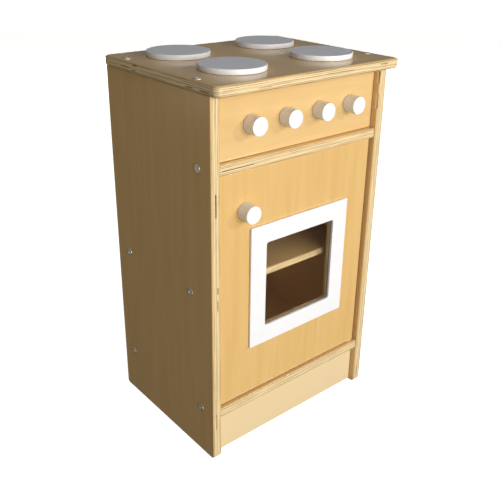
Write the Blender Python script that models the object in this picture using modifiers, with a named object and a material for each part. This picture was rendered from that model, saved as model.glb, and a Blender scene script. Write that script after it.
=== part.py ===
"""Wooden play stove: a birch plywood cabinet with four hob plates, four turning knobs
and a hinged oven door with a window. Metres, +Z up, front towards -Y.
The origin is on the floor, under the middle of the whole stove's width and depth."""

import math

import bmesh
import bpy
from mathutils import Matrix, Vector

# ---- Fits ----
FIT_GAP = 0.0003           # clearance between two pieces that touch
GLUE_GAP = 0.0003          # glue line under a piece that is stuck on

# ---- Cabinet ----
SIDE_HEIGHT = 0.600
CABINET_WIDTH = 0.351      # over the two side panels
CABINET_DEPTH = 0.271      # side panel, front edge to back edge
SIDE_PLY = 0.016
SIDE_FOOT_RADIUS = 0.006   # rounding of a side panel's two floor corners

WORKTOP_PLY = 0.016
WORKTOP_SIDE_OVERHANG = 0.005
WORKTOP_FRONT_OVERHANG = 0.021
WORKTOP_CORNER_RADIUS = 0.010
WORKTOP_EDGE_RADIUS = 0.0045

BASE_PLY = 0.016           # bottom shelf
BASE_TOP = 0.093           # its upper face, above the floor
BASE_SETBACK = 0.0012      # front edge, behind the side panels' front edges

RAIL_PLY = 0.016
RAIL_DEPTH = 0.060
RAIL_SETBACK = 0.0012
CONTROL_HEIGHT = 0.098     # from the rail's upper face to the side panels' top

SHELF_PLY = 0.012          # middle shelf
SHELF_HEIGHT = 0.2885      # its middle, above the floor
SHELF_SETBACK = 0.036

CONTROL_PLY = 0.016        # panel that carries the knobs
CONTROL_SETBACK = 0.011
KICK_PLY = 0.016
KICK_SETBACK = 0.0105
KICK_LIFT = 0.003          # gap under the kick board

BACK_PLY = 0.006
BACK_INSET = 0.008         # from the side panels' back edges
GROOVE_DEPTH = 0.007       # groove in each side panel that holds the back

BOARD_EASE = 0.0014        # rounding on a board's sawn edges
THIN_EASE = 0.0005         # the same on thin pieces: back panel, window frame

# ---- Oven door ----
DOOR_PLY = 0.016
DOOR_SETBACK = 0.0073
DOOR_SIDE_GAP = 0.0025
DOOR_END_GAP = 0.0020      # above and below the door
DOOR_HINGE_RADIUS = 0.004  # rounding of the edge that swings past the side panel
HINGE_EDGE_DISTANCE = 0.009    # hinge axis, from the door's edge

WINDOW_LEFT_MARGIN = 0.058     # door edge to the white frame
WINDOW_RIGHT_MARGIN = 0.049
WINDOW_BOTTOM_MARGIN = 0.087
WINDOW_TOP_MARGIN = 0.093
FRAME_BORDER = 0.031
FRAME_THICKNESS = 0.004
FRAME_CORNER_RADIUS = 0.004
CUTOUT_REVEAL = 0.006      # door cut-out, outside the frame's opening
CUTOUT_RADIUS = 0.010
PANE_LAP = 0.008           # pane, outside the door's cut-out
PANE_THICKNESS = 0.003

# ---- Knobs ----
KNOB_RADIUS = 0.0138
KNOB_LENGTH = 0.0215
KNOB_STANDOFF = 0.0005
KNOB_COUNT = 4
KNOB_PITCH = 0.067
KNOB_ROW_SHIFT = 0.003     # middle of the row, to the right of the cabinet's middle
KNOB_RISE = 0.0475         # knob centres, above the rail
DOOR_KNOB_EDGE = 0.0476    # from the door's left edge
DOOR_KNOB_DROP = 0.0625    # from the door's top edge

# ---- Hob plates ----
HOB_RADIUS = 0.050
HOB_THICKNESS = 0.008
HOB_SIDE_INSET = 0.092     # plate centres, from the worktop's side edges
HOB_SPACING_Y = 0.135
HOB_SHIFT_BACK = 0.006     # middle of the four, behind the worktop's middle

# ---- Screws, dowels and hinge parts ----
SCREW_SHANK_RADIUS = 0.003
SCREW_LENGTH = 0.050
SCREW_HEAD_RADIUS = 0.0067
SCREW_HEAD_HEIGHT = 0.0018
SCREW_RECESS = 0.0012      # how deep the head sits in the board
SOCKET_RADIUS = 0.0021     # hexagon socket, across corners
SOCKET_DEPTH = 0.0026

TOP_SCREW_FRONT = 0.038    # from the side panel's front edge
TOP_SCREW_BACK = 0.0515    # from its back edge
SHELF_SCREW_FRONT = 0.0195 # from the shelf's front edge
SHELF_SCREW_BACK = 0.0225
BASE_SCREW_FRONT = 0.0316
BASE_SCREW_BACK = 0.0171

SMALL_SHANK_RADIUS = 0.002 # knob screws
SMALL_HEAD_RADIUS = 0.004
SMALL_HEAD_HEIGHT = 0.0026
KNOB_SCREW_BITE = 0.012    # length of screw inside a knob
WASHER_RADIUS = 0.006
WASHER_THICKNESS = 0.001

CATCH_SHANK_RADIUS = 0.0015
CATCH_HEAD_RADIUS = 0.0028
CATCH_HEAD_HEIGHT = 0.0018
CATCH_SCREW_BITE = 0.010   # length of screw inside the wood

DOWEL_RADIUS = 0.004
DOWEL_IN_SIDE = 0.010
DOWEL_IN_BOARD = 0.020

PIN_RADIUS = 0.003
PIN_IN_DOOR = 0.015
PIN_IN_BUSH = 0.008
BUSH_RADIUS = 0.005
BUSH_FLANGE_RADIUS = 0.007

# ---- Magnetic catch ----
CATCH_WIDTH = 0.046
CATCH_DEPTH = 0.015
CATCH_HEIGHT = 0.012
CATCH_SCREW_MARGIN = 0.007 # from the tip of the rail's side screw to the case
CATCH_SCREW_SPREAD = 0.036 # between its two screws
MAGNET_WIDTH = 0.024
MAGNET_DEPTH = 0.008
MAGNET_HEIGHT = 0.007
MAGNET_PROUD = 0.001
STRIKE_WIDTH = 0.026
STRIKE_HEIGHT = 0.022
STRIKE_THICKNESS = 0.001
STRIKE_SCREW_RISE = 0.0045 # its screw, above the strike's lower edge

# ---- Small edges ----
SCREW_CHAMFER = 0.0006
HOB_CHAMFER = 0.0006
KNOB_EASE = 0.0006
DOWEL_CHAMFER = 0.0008
PIN_CHAMFER = 0.0006
PANE_EASE = 0.0003
CASE_EASE = 0.001
MAGNET_EASE = 0.0004
STRIKE_EASE = 0.0002
STRIKE_CORNER_RADIUS = 0.002
PAN_CROWN = 0.55           # a pan head's flat crown and its shoulder, as shares of the head's radius
PAN_SHOULDER = 0.92
PAN_SHOULDER_HEIGHT = 0.62 # and of its height
PAN_RIM_HEIGHT = 0.2
BUSH_END_ROOM = 0.001      # bush, past the pin's end

# ---- How the shapes are made ----
OVERSHOOT = 0.002          # how far a cutter starts outside the face that it cuts
CORNER_SEGMENTS = 4        # flats round a rounded corner
WORKTOP_SEGMENTS = 3       # flats round the worktop's edges
EASE_ANGLE = math.radians(40)      # edges sharper than this are eased
SHARP_ANGLE = math.radians(35)     # edges sharper than this are shaded sharp
MERGE_DISTANCE = 0.00001
EDGE_MATCH = 0.000001      # how near an edge's middle is to the place asked for
EMPTY_SIZE = 0.03

# Facets round each kind of turned piece
ROUND_STEPS = 18
SMALL_STEPS = 12
KNOB_STEPS = 24
HOB_STEPS = 36

# ---- Levels and planes worked out from the sizes above ----
INNER_X = CABINET_WIDTH / 2 - SIDE_PLY          # inner face of the right side panel
FRONT_Y = (WORKTOP_FRONT_OVERHANG - CABINET_DEPTH) / 2   # side panels' front edges
BACK_Y = FRONT_Y + CABINET_DEPTH
WORKTOP_Z = SIDE_HEIGHT + FIT_GAP
RAIL_TOP = SIDE_HEIGHT - CONTROL_HEIGHT
RAIL_BOTTOM = RAIL_TOP - RAIL_PLY
BACK_FRONT_Y = BACK_Y - BACK_INSET - BACK_PLY   # front face of the back panel
DOOR_FRONT_Y = FRONT_Y + DOOR_SETBACK
DOOR_BACK_Y = DOOR_FRONT_Y + DOOR_PLY
DOOR_RIGHT = INNER_X - DOOR_SIDE_GAP
DOOR_LEFT = -DOOR_RIGHT
DOOR_BOTTOM = BASE_TOP + DOOR_END_GAP
DOOR_TOP = RAIL_BOTTOM - DOOR_END_GAP
HINGE_X = DOOR_RIGHT - HINGE_EDGE_DISTANCE
HINGE_Y = DOOR_FRONT_Y + DOOR_PLY / 2
CONTROL_FRONT_Y = FRONT_Y + CONTROL_SETBACK
KNOB_Z = RAIL_TOP + KNOB_RISE
BOARD_HALF_LENGTH = INNER_X - FIT_GAP           # boards between the side panels

AXIS_UP = Vector((0, 0, 1))
AXIS_DOWN = Vector((0, 0, -1))
AXIS_FRONT = Vector((0, -1, 0))
AXIS_BACK = Vector((0, 1, 0))
AXIS_RIGHT = Vector((1, 0, 0))


# ---- Scene, collections and materials ----

def clear_scene():
    for obj in list(bpy.data.objects):
        bpy.data.objects.remove(obj, do_unlink=True)


def new_collection(name):
    collection = bpy.data.collections.new(name)
    bpy.context.scene.collection.children.link(collection)
    return collection


def new_material(name, colour, roughness, metallic=0.0, alpha=1.0):
    material = bpy.data.materials.new(name)
    material.use_nodes = True
    shader = material.node_tree.nodes["Principled BSDF"]
    shader.inputs["Base Color"].default_value = (*colour, 1.0)
    shader.inputs["Roughness"].default_value = roughness
    shader.inputs["Metallic"].default_value = metallic
    shader.inputs["Alpha"].default_value = alpha
    material.diffuse_color = (*colour, alpha)
    return material


clear_scene()
STOVE = new_collection("play_stove")
CUTTERS = new_collection("cutters")

BIRCH_PLY = new_material("birch_ply", (0.80, 0.60, 0.34), 0.35)
WHITE_PAINT = new_material("white_paint", (0.86, 0.86, 0.88), 0.35)
SMOKED_ACRYLIC = new_material("smoked_acrylic", (0.05, 0.04, 0.03), 0.05, alpha=0.4)
NICKEL = new_material("nickel_plate", (0.66, 0.62, 0.56), 0.30, metallic=1.0)
STEEL = new_material("zinc_plated_steel", (0.62, 0.62, 0.64), 0.35, metallic=1.0)
NYLON = new_material("natural_nylon", (0.80, 0.78, 0.72), 0.45)
CATCH_PLASTIC = new_material("brown_plastic", (0.16, 0.09, 0.05), 0.40)
MAGNET_IRON = new_material("magnet_pole_iron", (0.42, 0.42, 0.44), 0.40, metallic=1.0)
BEECH = new_material("beech_dowel", (0.72, 0.50, 0.32), 0.60)


# ---- Shapes ----

def link_mesh(name, bm, material, collection=None):
    mesh = bpy.data.meshes.new(name)
    bm.to_mesh(mesh)
    bm.free()
    obj = bpy.data.objects.new(name, mesh)
    (collection or STOVE).objects.link(obj)
    if material:
        mesh.materials.append(material)
    return obj


def box_mesh(low, high):
    """A cube primitive stretched between two corners."""
    low, high = Vector(low), Vector(high)
    size = high - low
    bm = bmesh.new()
    bmesh.ops.create_cube(bm, size=1.0)
    bmesh.ops.scale(bm, vec=size, verts=bm.verts)
    bmesh.ops.translate(bm, vec=(low + high) / 2, verts=bm.verts)
    return bm


def round_edges(bm, low, high, side, radius):
    """Rounds one edge of a box. side is that edge's direction from the box's middle, such as (1, -1, 0)."""
    low, high = Vector(low), Vector(high)
    middle, half = (low + high) / 2, (high - low) / 2
    target = middle + Vector(side) * half
    edges = [e for e in bm.edges if ((e.verts[0].co + e.verts[1].co) / 2 - target).length < EDGE_MATCH]
    bmesh.ops.bevel(bm, geom=edges, offset=radius, segments=CORNER_SEGMENTS, profile=0.5, affect="EDGES")


def board(name, low, high, material, ease=BOARD_EASE, rounded=(), ease_segments=2):
    """A sawn board between two corners. rounded lists (side, radius) for edges with a larger radius."""
    low, high = Vector(low), Vector(high)
    centre = (low + high) / 2
    bm = box_mesh(low - centre, high - centre)
    for side, radius in rounded:
        round_edges(bm, low - centre, high - centre, side, radius)
    obj = link_mesh(name, bm, material)
    obj.location = centre
    bevel = obj.modifiers.new("ease", "BEVEL")
    bevel.width = ease
    bevel.segments = ease_segments
    bevel.limit_method = "ANGLE"
    bevel.angle_limit = EASE_ANGLE
    return obj


def cutter_object(name, bm):
    obj = link_mesh(name, bm, None, CUTTERS)
    obj.hide_render = True
    obj.display_type = "WIRE"
    return obj


def cut(target, cutter):
    boolean = target.modifiers.new(cutter.name, "BOOLEAN")
    boolean.operation = "DIFFERENCE"
    boolean.solver = "EXACT"
    boolean.object = cutter


def cut_box(target, label, low, high, rounded=()):
    bm = box_mesh(low, high)
    for side, radius in rounded:
        round_edges(bm, low, high, side, radius)
    cut(target, cutter_object(f"cut_{target.name}_{label}", bm))


def turn_to(axis):
    """The rotation that takes +Z to a direction."""
    return AXIS_UP.rotation_difference(Vector(axis)).to_matrix().to_4x4()


def cut_hole(target, label, mouth, inward, radius, depth, steps=SMALL_STEPS):
    """A round hole from a point on the board's face, running inward. It starts a little outside the face."""
    bm = bmesh.new()
    bmesh.ops.create_cone(bm, cap_ends=True, segments=steps, radius1=radius, radius2=radius,
                          depth=depth + OVERSHOOT)
    inward = Vector(inward)
    middle = Vector(mouth) + inward * (depth - OVERSHOOT) / 2
    bm.transform(Matrix.Translation(middle) @ turn_to(inward))
    cut(target, cutter_object(f"cut_{target.name}_{label}", bm))


def turned(name, profile, material, location, axis, steps=ROUND_STEPS, closed=False):
    """A lathe-turned piece. profile is (radius, height) down the outer side; +height points along axis."""
    bm = bmesh.new()
    points = [bm.verts.new((radius, 0.0, height)) for radius, height in profile]
    for first, second in zip(points, points[1:]):
        bm.edges.new((first, second))
    if closed:
        bm.edges.new((points[-1], points[0]))
    obj = link_mesh(name, bm, material)
    screw = obj.modifiers.new("turn", "SCREW")
    screw.axis = "Z"
    screw.steps = steps
    screw.render_steps = steps
    screw.use_merge_vertices = True
    screw.merge_threshold = MERGE_DISTANCE
    obj.matrix_world = Matrix.Translation(Vector(location)) @ turn_to(axis)
    return obj


def settle(obj):
    """Turns an object's modifiers into its mesh, shaded smooth up to its sharp edges."""
    bpy.context.view_layer.update()
    evaluated = obj.evaluated_get(bpy.context.evaluated_depsgraph_get())
    mesh = bpy.data.meshes.new_from_object(evaluated)
    mesh.name = obj.name
    obj.modifiers.clear()
    obj.data = mesh
    mesh.shade_smooth()
    mesh.set_sharp_from_angle(angle=SHARP_ANGLE)
    return obj


def joint_empty(name, location):
    """An empty on a joint's axis, which carries the pieces that turn about it."""
    empty = bpy.data.objects.new(name, None)
    empty.location = location
    empty.empty_display_size = EMPTY_SIZE
    STOVE.objects.link(empty)
    bpy.context.view_layer.update()
    return empty


def carry(parent, *pieces):
    for piece in pieces:
        world = piece.matrix_world.copy()
        piece.parent = parent
        piece.matrix_parent_inverse = parent.matrix_world.inverted()
        piece.matrix_world = world


# ---- Fasteners ----

def panel_screw(name, face_point, outward):
    """A flat-headed connector screw with a hexagon socket. face_point is on the board's outer face."""
    head_seat = -SCREW_RECESS + FIT_GAP
    top = head_seat + SCREW_HEAD_HEIGHT
    tip = head_seat - SCREW_LENGTH
    profile = [
        (0, top),
        (SCREW_HEAD_RADIUS - SCREW_CHAMFER, top),
        (SCREW_HEAD_RADIUS, top - SCREW_CHAMFER),
        (SCREW_HEAD_RADIUS, head_seat),
        (SCREW_SHANK_RADIUS, head_seat),
        (SCREW_SHANK_RADIUS, tip + SCREW_SHANK_RADIUS),
        (0, tip),
    ]
    screw = turned(name, profile, NICKEL, face_point, outward)
    bm = bmesh.new()
    bmesh.ops.create_cone(bm, cap_ends=True, segments=6, radius1=SOCKET_RADIUS, radius2=SOCKET_RADIUS,
                          depth=SOCKET_DEPTH + OVERSHOOT)
    middle = top + (OVERSHOOT - SOCKET_DEPTH) / 2
    bm.transform(Matrix.Translation(Vector(face_point)) @ turn_to(outward)
                 @ Matrix.Translation((0, 0, middle)))
    cut(screw, cutter_object(f"cut_{name}_socket", bm))
    return settle(screw)


def bore_for_panel_screw(board_with_head, board_with_thread, label, face_point, outward):
    """A counterbore and a clear hole through the outer board, and a blind hole in the board behind it."""
    inward = -Vector(outward)
    cut_hole(board_with_head, f"{label}_recess", face_point, inward,
             SCREW_HEAD_RADIUS + FIT_GAP, SCREW_RECESS, ROUND_STEPS)
    for obj in (board_with_head, board_with_thread):
        cut_hole(obj, f"{label}_hole", face_point, inward,
                 SCREW_SHANK_RADIUS + FIT_GAP, SCREW_RECESS + SCREW_LENGTH)


def pan_screw(name, seat, outward, material, shank_radius, head_radius, head_height, length):
    """A pan-headed screw. seat is the point under its head."""
    profile = [
        (0, head_height),
        (head_radius * PAN_CROWN, head_height),
        (head_radius * PAN_SHOULDER, head_height * PAN_SHOULDER_HEIGHT),
        (head_radius, head_height * PAN_RIM_HEIGHT),
        (head_radius, 0),
        (shank_radius, 0),
        (shank_radius, -length + shank_radius),
        (0, -length),
    ]
    return settle(turned(name, profile, material, seat, outward, SMALL_STEPS))


def ring(name, location, axis, inner, outer, thickness, material):
    """A flat washer. location is the middle of the face that axis leaves from."""
    profile = [(inner, thickness), (outer, thickness), (outer, 0), (inner, 0)]
    return settle(turned(name, profile, material, location, axis, SMALL_STEPS, closed=True))


# ---- Cabinet boards ----

def side_panel(name, sign):
    inner, outer = sign * INNER_X, sign * CABINET_WIDTH / 2
    low = (min(inner, outer), FRONT_Y, 0)
    high = (max(inner, outer), BACK_Y, SIDE_HEIGHT)
    feet = [((0, -1, -1), SIDE_FOOT_RADIUS), ((0, 1, -1), SIDE_FOOT_RADIUS)]
    panel = board(name, low, high, BIRCH_PLY, rounded=feet)
    groove_wall = inner + sign * GROOVE_DEPTH
    mouth = inner - sign * OVERSHOOT
    cut_box(panel, "back_groove",
            (min(groove_wall, mouth), BACK_FRONT_Y - FIT_GAP, -OVERSHOOT),
            (max(groove_wall, mouth), BACK_FRONT_Y + BACK_PLY + FIT_GAP, SIDE_HEIGHT + OVERSHOOT))
    return panel


def make_worktop():
    low = (-CABINET_WIDTH / 2 - WORKTOP_SIDE_OVERHANG, FRONT_Y - WORKTOP_FRONT_OVERHANG, WORKTOP_Z)
    high = (CABINET_WIDTH / 2 + WORKTOP_SIDE_OVERHANG, BACK_Y, WORKTOP_Z + WORKTOP_PLY)
    corners = [((x, y, 0), WORKTOP_CORNER_RADIUS) for x in (-1, 1) for y in (-1, 1)]
    return board("worktop", low, high, BIRCH_PLY, WORKTOP_EDGE_RADIUS, corners,
                 ease_segments=WORKTOP_SEGMENTS)


def cross_board(name, front, back, bottom, top, ease=BOARD_EASE):
    """A board that runs from one side panel to the other."""
    return board(name, (-BOARD_HALF_LENGTH, front, bottom), (BOARD_HALF_LENGTH, back, top), BIRCH_PLY, ease)


def make_back_panel():
    half = INNER_X + GROOVE_DEPTH - FIT_GAP
    return board("back_panel", (-half, BACK_FRONT_Y, KICK_LIFT), (half, BACK_FRONT_Y + BACK_PLY, SIDE_HEIGHT),
                 BIRCH_PLY, ease=THIN_EASE, ease_segments=1)


def dowel_between(board_piece, label, y, z):
    """Dowels that tie a front board to both side panels, with the holes for them."""
    for side, panel, sign in (("left", LEFT_SIDE, -1), ("right", RIGHT_SIDE, 1)):
        outward = AXIS_RIGHT * sign
        seam = Vector((sign * INNER_X, y, z))
        cut_hole(panel, f"{label}_dowel", seam, outward, DOWEL_RADIUS + FIT_GAP, DOWEL_IN_SIDE + FIT_GAP)
        cut_hole(board_piece, f"{side}_dowel", Vector((sign * BOARD_HALF_LENGTH, y, z)), -outward,
                 DOWEL_RADIUS + FIT_GAP, DOWEL_IN_BOARD + FIT_GAP)
        profile = [
            (0, DOWEL_IN_SIDE),
            (DOWEL_RADIUS - DOWEL_CHAMFER, DOWEL_IN_SIDE),
            (DOWEL_RADIUS, DOWEL_IN_SIDE - DOWEL_CHAMFER),
            (DOWEL_RADIUS, DOWEL_CHAMFER - DOWEL_IN_BOARD),
            (DOWEL_RADIUS - DOWEL_CHAMFER, -DOWEL_IN_BOARD),
            (0, -DOWEL_IN_BOARD),
        ]
        settle(turned(f"{label}_dowel_{side}", profile, BEECH, seam, outward, SMALL_STEPS))


def screw_side_board(board_piece, label, places):
    """Screws that hold a cross board between the side panels. places is (suffix, y, z) for each one."""
    for side, panel, sign in (("left", LEFT_SIDE, -1), ("right", RIGHT_SIDE, 1)):
        outward = AXIS_RIGHT * sign
        for suffix, y, z in places:
            point = Vector((sign * CABINET_WIDTH / 2, y, z))
            hole = f"{label}{suffix}_{side}"
            bore_for_panel_screw(panel, board_piece, hole, point, outward)
            panel_screw(f"{label}_screw{suffix}_{side}", point, outward)


LEFT_SIDE = side_panel("left_side_panel", -1)
RIGHT_SIDE = side_panel("right_side_panel", 1)
WORKTOP = make_worktop()
BASE = cross_board("bottom_shelf", FRONT_Y + BASE_SETBACK, BACK_FRONT_Y - FIT_GAP,
                   BASE_TOP - BASE_PLY, BASE_TOP)
SHELF = cross_board("middle_shelf", FRONT_Y + SHELF_SETBACK, BACK_FRONT_Y - FIT_GAP,
                    SHELF_HEIGHT - SHELF_PLY / 2, SHELF_HEIGHT + SHELF_PLY / 2)
RAIL = cross_board("front_rail", FRONT_Y + RAIL_SETBACK, FRONT_Y + RAIL_SETBACK + RAIL_DEPTH,
                   RAIL_BOTTOM, RAIL_TOP)
CONTROL = cross_board("control_panel", CONTROL_FRONT_Y, CONTROL_FRONT_Y + CONTROL_PLY,
                      RAIL_TOP + FIT_GAP, SIDE_HEIGHT)
KICK = cross_board("kick_board", FRONT_Y + KICK_SETBACK, FRONT_Y + KICK_SETBACK + KICK_PLY,
                   KICK_LIFT, BASE_TOP - BASE_PLY - FIT_GAP)
settle(make_back_panel())

screw_side_board(RAIL, "rail", [("", FRONT_Y + RAIL_SETBACK + RAIL_DEPTH / 2, RAIL_TOP - RAIL_PLY / 2)])
screw_side_board(SHELF, "shelf", [
    ("_front", FRONT_Y + SHELF_SETBACK + SHELF_SCREW_FRONT, SHELF_HEIGHT),
    ("_rear", BACK_FRONT_Y - SHELF_SCREW_BACK, SHELF_HEIGHT)])
screw_side_board(BASE, "base", [
    ("_front", FRONT_Y + BASE_SETBACK + BASE_SCREW_FRONT, BASE_TOP - BASE_PLY / 2),
    ("_rear", BACK_FRONT_Y - BASE_SCREW_BACK, BASE_TOP - BASE_PLY / 2)])

for side_name, side_board, side_sign in (("left", LEFT_SIDE, -1), ("right", RIGHT_SIDE, 1)):
    for end_name, screw_y in (("front", FRONT_Y + TOP_SCREW_FRONT), ("rear", BACK_Y - TOP_SCREW_BACK)):
        top_point = Vector((side_sign * (INNER_X + SIDE_PLY / 2), screw_y, WORKTOP_Z + WORKTOP_PLY))
        bore_for_panel_screw(WORKTOP, side_board, f"{end_name}_{side_name}_top", top_point, AXIS_UP)
        panel_screw(f"worktop_screw_{end_name}_{side_name}", top_point, AXIS_UP)

dowel_between(CONTROL, "control_panel", CONTROL_FRONT_Y + CONTROL_PLY / 2, (RAIL_TOP + SIDE_HEIGHT) / 2)
dowel_between(KICK, "kick_board", FRONT_Y + KICK_SETBACK + KICK_PLY / 2,
              (BASE_TOP - BASE_PLY + KICK_LIFT) / 2)


# ---- Hob plates ----

def hob_plate(name, x, y):
    bottom = WORKTOP_Z + WORKTOP_PLY + GLUE_GAP
    profile = [
        (0, HOB_THICKNESS),
        (HOB_RADIUS - HOB_CHAMFER, HOB_THICKNESS),
        (HOB_RADIUS, HOB_THICKNESS - HOB_CHAMFER),
        (HOB_RADIUS, 0),
        (0, 0),
    ]
    return settle(turned(name, profile, WHITE_PAINT, (x, y, bottom), AXIS_UP, HOB_STEPS))


HOB_X = CABINET_WIDTH / 2 + WORKTOP_SIDE_OVERHANG - HOB_SIDE_INSET
WORKTOP_MIDDLE_Y = (FRONT_Y - WORKTOP_FRONT_OVERHANG + BACK_Y) / 2
for row_name, row_sign in (("front", -1), ("rear", 1)):
    for column_name, column_sign in (("left", -1), ("right", 1)):
        hob_plate(f"hob_plate_{row_name}_{column_name}", column_sign * HOB_X,
                  WORKTOP_MIDDLE_Y + HOB_SHIFT_BACK + row_sign * HOB_SPACING_Y / 2)


# ---- Knobs ----

def knob(name, seat):
    """A turned knob with a blind hole in its back. seat is the knob's back, on its axis."""
    hole = SMALL_SHANK_RADIUS + FIT_GAP
    hole_depth = KNOB_SCREW_BITE + FIT_GAP
    profile = [
        (0, KNOB_LENGTH),
        (KNOB_RADIUS - KNOB_EASE, KNOB_LENGTH),
        (KNOB_RADIUS, KNOB_LENGTH - KNOB_EASE),
        (KNOB_RADIUS, KNOB_EASE),
        (KNOB_RADIUS - KNOB_EASE, 0),
        (hole, 0),
        (hole, hole_depth),
        (0, hole_depth),
    ]
    return settle(turned(name, profile, WHITE_PAINT, seat, AXIS_FRONT, KNOB_STEPS))


def screw_for_knob(name, knob_back, panel_back_y, spacer):
    """The screw from behind the panel into a knob, with room for a washer under its head."""
    seat = Vector((knob_back.x, panel_back_y + FIT_GAP + spacer, knob_back.z))
    length = seat.y - knob_back.y + KNOB_SCREW_BITE
    return pan_screw(name, seat, AXIS_BACK, STEEL, SMALL_SHANK_RADIUS, SMALL_HEAD_RADIUS,
                     SMALL_HEAD_HEIGHT, length)


def turning_knob(number):
    x = KNOB_ROW_SHIFT + (number - (KNOB_COUNT + 1) / 2) * KNOB_PITCH
    panel_back_y = CONTROL_FRONT_Y + CONTROL_PLY
    back = Vector((x, CONTROL_FRONT_Y - KNOB_STANDOFF, KNOB_Z))
    cut_hole(CONTROL, f"knob_{number}", Vector((x, CONTROL_FRONT_Y, KNOB_Z)), AXIS_BACK,
             SMALL_SHANK_RADIUS + FIT_GAP, CONTROL_PLY + OVERSHOOT)
    axis = joint_empty(f"knob_{number}_axis", back)
    cap = knob(f"control_knob_{number}", back)
    washer_face = Vector((x, panel_back_y + FIT_GAP, KNOB_Z))
    washer = ring(f"knob_washer_{number}", washer_face, AXIS_BACK, SMALL_SHANK_RADIUS + FIT_GAP,
                  WASHER_RADIUS, WASHER_THICKNESS, STEEL)
    screw = screw_for_knob(f"knob_screw_{number}", back, panel_back_y, WASHER_THICKNESS + FIT_GAP)
    carry(axis, cap, washer, screw)


for knob_number in range(1, KNOB_COUNT + 1):
    turning_knob(knob_number)


# ---- Oven door ----

FRAME_LEFT = DOOR_LEFT + WINDOW_LEFT_MARGIN
FRAME_RIGHT = DOOR_RIGHT - WINDOW_RIGHT_MARGIN
FRAME_BOTTOM = DOOR_BOTTOM + WINDOW_BOTTOM_MARGIN
FRAME_TOP = DOOR_TOP - WINDOW_TOP_MARGIN
UPRIGHT_CORNERS = [(x, 0, z) for x in (-1, 1) for z in (-1, 1)]


def window_rectangle(margin, front, back):
    """Two corners of a box round the frame's opening, larger by margin each way."""
    inset = FRAME_BORDER - margin
    low = (FRAME_LEFT + inset, front, FRAME_BOTTOM + inset)
    high = (FRAME_RIGHT - inset, back, FRAME_TOP - inset)
    return low, high


def make_door_panel():
    rounded = [((1, -1, 0), DOOR_HINGE_RADIUS)]
    door = board("door_panel", (DOOR_LEFT, DOOR_FRONT_Y, DOOR_BOTTOM), (DOOR_RIGHT, DOOR_BACK_Y, DOOR_TOP),
                 BIRCH_PLY, rounded=rounded)
    low, high = window_rectangle(CUTOUT_REVEAL, DOOR_FRONT_Y - OVERSHOOT, DOOR_BACK_Y + OVERSHOOT)
    cut_box(door, "cutout", low, high, [(corner, CUTOUT_RADIUS) for corner in UPRIGHT_CORNERS])
    low, high = window_rectangle(CUTOUT_REVEAL + PANE_LAP + FIT_GAP, DOOR_FRONT_Y - OVERSHOOT,
                                 DOOR_FRONT_Y + PANE_THICKNESS + FIT_GAP)
    cut_box(door, "rebate", low, high, [(corner, FRAME_CORNER_RADIUS) for corner in UPRIGHT_CORNERS])
    return door


def make_window():
    """The pane in its rebate, and the white frame that covers its edges."""
    low, high = window_rectangle(CUTOUT_REVEAL + PANE_LAP, DOOR_FRONT_Y, DOOR_FRONT_Y + PANE_THICKNESS)
    corners = [(corner, FRAME_CORNER_RADIUS) for corner in UPRIGHT_CORNERS]
    pane = board("window_pane", low, high, SMOKED_ACRYLIC, ease=PANE_EASE, rounded=corners, ease_segments=1)
    back = DOOR_FRONT_Y - GLUE_GAP
    front = back - FRAME_THICKNESS
    low, high = window_rectangle(FRAME_BORDER, front, back)
    frame = board("window_frame", low, high, WHITE_PAINT, ease=THIN_EASE, rounded=corners, ease_segments=1)
    low, high = window_rectangle(0.0, front - OVERSHOOT, back + OVERSHOOT)
    cut_box(frame, "opening", low, high, corners)
    return settle(pane), settle(frame)


def make_door_knob(door):
    knob_x = DOOR_LEFT + DOOR_KNOB_EDGE
    knob_z = DOOR_TOP - DOOR_KNOB_DROP
    back = Vector((knob_x, DOOR_FRONT_Y - FIT_GAP, knob_z))
    cut_hole(door, "knob", Vector((knob_x, DOOR_FRONT_Y, knob_z)), AXIS_BACK,
             SMALL_SHANK_RADIUS + FIT_GAP, DOOR_PLY + OVERSHOOT)
    return (knob("door_knob", back),
            screw_for_knob("door_knob_screw", back, DOOR_BACK_Y, 0.0))


def make_hinge(label, door, cabinet_board, door_edge_z, board_face_z, outward):
    """A steel pin in the door's edge that turns in a flanged bush let into the board next to it."""
    sign = Vector(outward)
    door_edge = Vector((HINGE_X, HINGE_Y, door_edge_z))
    board_face = Vector((HINGE_X, HINGE_Y, board_face_z))
    cut_hole(door, f"{label}_pin", door_edge, -sign, PIN_RADIUS + FIT_GAP, PIN_IN_DOOR + FIT_GAP)
    bush_length = PIN_IN_BUSH + BUSH_END_ROOM
    cut_hole(cabinet_board, f"{label}_bush", board_face, sign, BUSH_RADIUS + FIT_GAP, bush_length + FIT_GAP,
             ROUND_STEPS)
    flange_top = -FIT_GAP
    flange_bottom = FIT_GAP - DOOR_END_GAP
    bore = PIN_RADIUS + FIT_GAP
    bush_profile = [
        (bore, bush_length),
        (BUSH_RADIUS, bush_length),
        (BUSH_RADIUS, flange_top),
        (BUSH_FLANGE_RADIUS, flange_top),
        (BUSH_FLANGE_RADIUS, flange_bottom),
        (bore, flange_bottom),
    ]
    settle(turned(f"hinge_bush_{label}", bush_profile, NYLON, board_face, outward, closed=True))
    pin_top = DOOR_END_GAP + PIN_IN_BUSH
    pin_profile = [
        (0, pin_top),
        (PIN_RADIUS - PIN_CHAMFER, pin_top),
        (PIN_RADIUS, pin_top - PIN_CHAMFER),
        (PIN_RADIUS, PIN_CHAMFER - PIN_IN_DOOR),
        (PIN_RADIUS - PIN_CHAMFER, -PIN_IN_DOOR),
        (0, -PIN_IN_DOOR),
    ]
    return settle(turned(f"hinge_pin_{label}", pin_profile, STEEL, door_edge, outward))


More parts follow.
